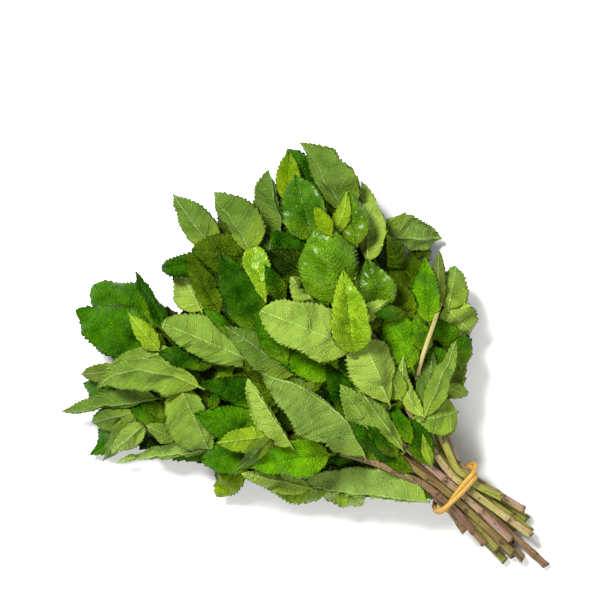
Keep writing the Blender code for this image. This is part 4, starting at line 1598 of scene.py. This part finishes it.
class MintBunch:
    """The whole bunch, built in the order in which its parts lie on each other."""

    def __init__(self) -> None:
        """Finds where the band stands in the frame and makes the shared tools."""
        low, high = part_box(BAND_NODE)
        self.origin = (low + high) / 2 - Vector((0.0, 0.0, BAND_HEIGHT * MM))
        self.rng = np.random.default_rng(SEED)
        self.placed: dict[str, Blade] = {}
        self.items: list[tuple[str, Array]] = []
        self.twigs: dict[str, Array] = {}
        self.sprigs: dict[str, list[Leaf]] = {}
        for (sprig, below), rows in LOOSE_LEAVES.items():
            leaves = self.sprigs.setdefault(sprig, [])
            for row in rows:
                leaves.append(Leaf(f"{sprig}_{len(leaves)}", *row, below=below))

    def laid(self, leaf: Leaf) -> Blade:
        """Shapes a CAD leaf's blade.

        Args:
            leaf: the leaf.

        Returns:
            The blade, moved to where the CAD holds that leaf.
        """
        blade = Blade(replace(leaf, **REDRAWN.get(leaf.name, {})), self.rng, ruffle=0.8)
        low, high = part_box(leaf.name)
        middle = (np.array(low + high) / 2 - np.array(self.origin)) / MM
        blade.points = blade.points + (middle - leaf.coarse_box())
        return blade

    def lie_down(self) -> None:
        """Lays out every listed leaf and stem, lowest first."""
        loose = [leaf for leaves in self.sprigs.values() for leaf in leaves]
        top_row = max(stem.row for stem in STEMS)
        order: list[Leaf | Stem] = [
            *UNDER_LEAVES,
            *(stem for stem in STEMS if stem.row < top_row),
            *LOWER_LEAVES,
            *(stem for stem in STEMS if stem.row == top_row),
            *UPPER_LEAVES,
        ]
        fixed = []
        for thing in order:
            if isinstance(thing, Stem):
                fixed.append(self.rod_samples(thing))
            else:
                self.placed[thing.name] = self.laid(thing)
                fixed.append(denser(self.placed[thing.name].points))
        floor = Heap(0.0)
        for index, thing in enumerate(order):
            tucked = [leaf for leaf in loose if leaf.below == thing.name]
            if tucked:
                ceiling = Heap(OPEN_SKY)
                for samples in fixed[index:]:
                    ceiling.undercut(samples)
                for leaf in tucked:
                    self.tuck(leaf, floor, ceiling)
                for twig in TWIGS:
                    if twig.below == thing.name:
                        self.thread(twig, floor, ceiling)
            samples = fixed[index]
            if isinstance(thing, Leaf):
                blade = self.placed[thing.name]
                blade.points = nestle(blade.points, floor, None, CAD_LEAF_MOVE)
                samples = denser(blade.points)
            self.enter(thing.name, samples, floor)
        for leaf in loose:
            if not leaf.below:
                self.tuck(leaf, floor, None)

    def tuck(self, leaf: Leaf, floor: Heap, ceiling: Heap | None) -> None:
        """Places a loose leaf.

        Args:
            leaf: the leaf.
            floor: tops of what lies below it, which it is added to.
            ceiling: undersides of what lies above it, or None.
        """
        blade = Blade(leaf, self.rng, ruffle=0.6, small=leaf.width < 12)
        blade.points = nestle(blade.points, floor, ceiling, LOOSE_LEAF_MOVE)
        self.placed[leaf.name] = blade
        self.enter(leaf.name, denser(blade.points), floor)

    def thread(self, twig: Twig, floor: Heap, ceiling: Heap) -> None:
        """Rests a bare shoot on what is below it, with its ends between the leaves.

        Args:
            twig: the shoot.
            floor: tops of what lies below it, which it is added to.
            ceiling: undersides of what lies above it.
        """
        path = smooth_curve([Vector(point) for point in twig.route], 40)
        side = level_side(np.gradient(path, axis=0))
        strip = path[:, None] + side[:, None] * (np.array((-1.0, 0.0, 1.0)) * twig.radius)[:, None]
        low = floor.read(strip, np.maximum).max(axis=1)
        high = ceiling.read(strip, np.minimum).min(axis=1)
        for _ in range(60):
            low[1:-1] = (low[:-2] + 2 * low[1:-1] + low[2:]) / 4
        path[:, 2] = np.minimum(path[:, 2] + low + twig.radius, high - twig.radius)
        strip[..., 2] = path[:, 2:] + twig.radius
        self.twigs[twig.name] = path
        self.enter(twig.name, strip, floor)

    def enter(self, name: str, samples: Array, floor: Heap) -> None:
        """Notes where a thing lies and raises the floor over it."""
        self.items.append((name, samples))
        floor.cover(samples)

    @staticmethod
    def rod_samples(stem: Stem) -> Array:
        """Fills a stem's section with points, along its length.

        Args:
            stem: the stem.

        Returns:
            Rows of points across the stem.
        """
        path = np.repeat(stem.path, 2, axis=0)
        sides = np.linspace(-1.4, 1.4, 5)
        side = level_side(np.gradient(stem.path, axis=0)).repeat(2, axis=0)
        middle = path[:, None] + side[:, None] * sides[:, None]
        return np.concatenate([middle + (0, 0, 1.6), middle - (0, 0, 1.6)], axis=1)

    def fill_head(self) -> dict[str, list[Blade]]:
        """Grows inner leaves between the layers of listed ones.

        Returns:
            The inner blades by stem.
        """
        names = [name for name, _ in self.items]
        cover = Heap(-1.0)
        owner = np.full(HEAP_SHAPE, -1)
        for index, (name, samples) in enumerate(self.items):
            cells = Heap.cells(samples)
            seen = samples[..., 2] > cover.height[cells] - 1.0
            if not name.startswith(("stem", "leaf_under")):
                owner[cells[0][seen], cells[1][seen]] = index
            cover.cover(samples, 0.0)
        grower = InnerLeaves(self.rng, head_mask(cover.height > -0.5, 5))
        grown: dict[str, list[Blade]] = {stem.name: [] for stem in STEMS}
        inner: list[Array] = []
        for above, row, high, share in INNER_LAYERS:
            position = names.index(above)
            floor, ceiling = Heap(0.0), Heap(OPEN_SKY)
            for samples in [samples for _, samples in self.items[:position]] + inner:
                floor.cover(samples)
            for _, samples in self.items[position:]:
                ceiling.undercut(samples)
            shown = (owner >= 0) & (owner < position)
            for stem in [stem for stem in STEMS if stem.row == row]:
                for leaf in grower.candidates(stem, high, shown, ceiling.height < OPEN_SKY, share):
                    blade = Blade(leaf, self.rng, ruffle=0.7, small=True)
                    blade.points = nestle(blade.points, floor, ceiling, LOOSE_LEAF_MOVE)
                    samples = denser(blade.points)
                    floor.cover(samples)
                    inner.append(samples)
                    grown[stem.name].append(blade)
        return grown

    def show(
        self, name: str, patches: list[Patch], materials: list[Material], slot: str, *nodes: str
    ) -> None:
        """Makes a piece, rides it on the body and hides the CAD nodes that it stands for.

        Args:
            name: the piece's name.
            patches: its closed shells.
            materials: its materials.
            slot: not used.
            nodes: the CAD nodes that it stands for.
        """
        piece = make_piece(name, patches, materials, self.origin)
        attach(piece, BODY)
        if nodes:
            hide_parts(*nodes)
        LOG.info("%s: %d faces", piece.name, len(piece.data.polygons))

    def build_leaves(self) -> None:
        """Makes a piece for each CAD leaf and one for each sprig of loose leaves."""
        for leaf in (*UNDER_LEAVES, *LOWER_LEAVES, *UPPER_LEAVES):
            patch = self.placed[leaf.name].patch()
            self.show(f"dressed_{leaf.name}", [patch], leaf_paints(leaf.tone), "leaf", leaf.name)
        for name, leaves in self.sprigs.items():
            self.build_cluster(name, [self.placed[leaf.name] for leaf in leaves])

    def build_cluster(self, name: str, blades: list[Blade]) -> None:
        """Makes one piece of several blades, each in its own tone.

        Args:
            name: the piece's name.
            blades: its blades.
        """
        tones = sorted({blade.leaf.tone for blade in blades}, key=lambda tone: tone.value.name)
        materials = [material for tone in tones for material in leaf_paints(tone)]
        patches = []
        for blade in blades:
            patch = blade.patch()
            patch.paint = patch.paint + 2 * tones.index(blade.leaf.tone)
            patches.append(patch)
        self.show(name, patches, materials, "leaf")

    def side_shoots(self) -> dict[str, list[Patch]]:
        """Shoots that join each upper leaf to the nearest stem below it.

        Returns:
            The shoots by the stem that they leave.
        """
        paths = {stem.name: stem.path for stem in STEMS}
        shoots: dict[str, list[Patch]] = {stem.name: [] for stem in STEMS}
        for leaf in (*LOWER_LEAVES, *UPPER_LEAVES):
            grid = self.placed[leaf.name].points
            middle = grid.shape[1] // 2
            base = grid[0, middle]
            arrival = unit(grid[2, middle] - base)
            best = (OPEN_SKY, "", 0)
            for name, path in paths.items():
                reach = np.linalg.norm(path - base, axis=1)
                behind = (base - path) @ arrival
                usable = (path[:, 2] < base[2] + 2) & (path[:, 0] > SHOOTS_FROM)
                cost = np.where(usable, reach - 0.4 * behind, OPEN_SKY)
                index = int(cost.argmin())
                if cost[index] < best[0]:
                    best = (cost[index], name, index)
            _, name, index = best
            start = paths[name][index]
            if np.linalg.norm(base - start) >= SHORTEST_SHOOT and base[0] >= LEAVES_FROM:
                heading = unit(np.gradient(paths[name], axis=0))[index]
                shoots[name].append(shoot_patch(start, heading, base, arrival, self.rng.uniform(-3, 3)))
        return shoots

    def build_stems(self) -> None:
        """Makes a piece for each stem, with the side shoots that leave it."""
        shoots = self.side_shoots()
        for stem in STEMS:
            patches = [StemRod(stem, self.rng).patch(), *shoots[stem.name]]
            materials = stem_paints(stem.skin)
            self.show(f"dressed_{stem.name}", patches, materials, stem.skin.value.slot, stem.name)

    def build_twigs(self) -> None:
        """Makes one piece of the bare side shoots."""
        patches = []
        for twig in TWIGS:
            path = self.twigs[twig.name]
            share = np.linspace(0.0, 1.0, len(path))
            section = square_section(twig.radius * (1.1 - 0.2 * share), 12)
            patches.append(tube_patch(*sweep(path, section), np.zeros(len(path)), self.rng.uniform(-3, 3)))
        self.show("bare_side_shoots", patches, stem_paints(Skin.STRAW), Skin.STRAW.value.slot)

    def build_band(self) -> None:
        """Makes the rubber band."""
        patches, materials = [RubberBand().patch()], [RubberFinish().skin()]
        self.show("wound_rubber_band", patches, materials, "rubber_band", BAND_NODE)

    def build(self) -> None:
        """Builds every piece."""
        self.lie_down()
        grown = self.fill_head()
        self.build_leaves()
        for name, blades in grown.items():
            if blades:
                self.build_cluster(f"inner_leaves_{name}", blades)
        self.build_stems()
        self.build_twigs()
        self.build_band()


# ---------------------------------------------------------------- the studio


@dataclass
class Studio:
    """A pale table under soft lamps, with the camera straight above the bunch."""

    origin: Vector
    centre: tuple[float, float] = (121.0, -20.3)
    middle_height: float = 40.0
    view_width: float = 300.0
    distance: float = 2.46
    right: tuple[float, float] = (-0.7547, -0.6561)
    above: tuple[float, float] = (0.6561, -0.7547)

    def spot(self, right: float, above: float, height: float) -> Vector:
        """Finds a place in the frame.

        Args:
            right: metres to the right of the middle of the view.
            above: metres above that middle, as the camera sees it.
            height: metres over the table.

        Returns:
            The place.
        """
        x = self.origin.x + self.centre[0] * MM + self.right[0] * right + self.above[0] * above
        y = self.origin.y + self.centre[1] * MM + self.right[1] * right + self.above[1] * above
        return Vector((x, y, height))

    def build_floor(self) -> None:
        """Lays the plain pale table."""
        mesh = bpy.data.meshes.new("table")
        half = 3.0
        corners = [(-half, -half, 0), (half, -half, 0), (half, half, 0), (-half, half, 0)]
        mesh.from_pydata(corners, [], [(0, 1, 2, 3)])
        material, add = new_material("pale_table")
        shader = add("BsdfPrincipled", {"Base Color": linear("#f4f4f2"), "Roughness": 0.8})
        add("OutputMaterial", {}, shader)
        mesh.materials.append(material)
        table = bpy.data.objects.new("table", mesh)
        bpy.context.scene.collection.objects.link(table)

    def build_lamp(self, name: str, place: Vector, size: float, power: float) -> None:
        """Hangs a square soft lamp that faces the middle of the bunch.

        Args:
            name: the lamp's name.
            place: where it hangs.
            size: its side in metres.
            power: its power in watts.
        """
        light = bpy.data.lights.new(name, "AREA")
        light.shape = "SQUARE"
        light.size = size
        light.energy = power
        lamp = bpy.data.objects.new(name, light)
        lamp.location = place
        aim = self.spot(0.0, 0.0, self.middle_height * MM) - place
        lamp.rotation_mode = "QUATERNION"
        lamp.rotation_quaternion = aim.to_track_quat("-Z", "Y")
        lamp.visible_camera = False
        bpy.context.scene.collection.objects.link(lamp)

    def build_camera(self) -> None:
        """Sets the camera straight above, turned so that the head lies to the upper left."""
        data = bpy.data.cameras.new("camera")
        data.sensor_width = 36.0
        data.lens = data.sensor_width * (self.distance - self.middle_height * MM) / (self.view_width * MM)
        data.clip_end = 20.0
        camera = bpy.data.objects.new("camera", data)
        turn = math.atan2(self.right[1], self.right[0])
        place = Matrix.Translation(self.spot(0.0, 0.0, self.distance))
        camera.matrix_world = place @ Matrix.Rotation(turn, 4, "Z")
        bpy.context.scene.collection.objects.link(camera)
        bpy.context.scene.camera = camera

    def build(self) -> None:
        """Makes the table, the lamps, the sky and the camera."""
        scene = bpy.context.scene
        scene.view_settings.view_transform = "Standard"
        world = bpy.data.worlds.new("sky")
        world.use_nodes = True
        world.node_tree.nodes.clear()
        sky = add_node(world.node_tree, "Background", {"Color": (1, 1, 1, 1), "Strength": 0.42})
        add_node(world.node_tree, "OutputWorld", {}, sky)
        scene.world = world
        self.build_floor()
        self.build_lamp("key_lamp", self.spot(-0.6, 0.7, 1.45), size=0.45, power=61.0)
        self.build_lamp("fill_lamp", self.spot(0.15, -1.0, 1.1), size=0.9, power=13.0)
        self.build_camera()


def write_sizes() -> None:
    """Updates the view layer so that every placement is current."""
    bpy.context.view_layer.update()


def main() -> None:
    """Builds the bunch and the studio round it."""
    logging.basicConfig(level=logging.INFO, format="%(message)s")
    bunch = MintBunch()
    bunch.build()
    Studio(bunch.origin).build()
    write_sizes()


if __name__ == "__main__":
    main()
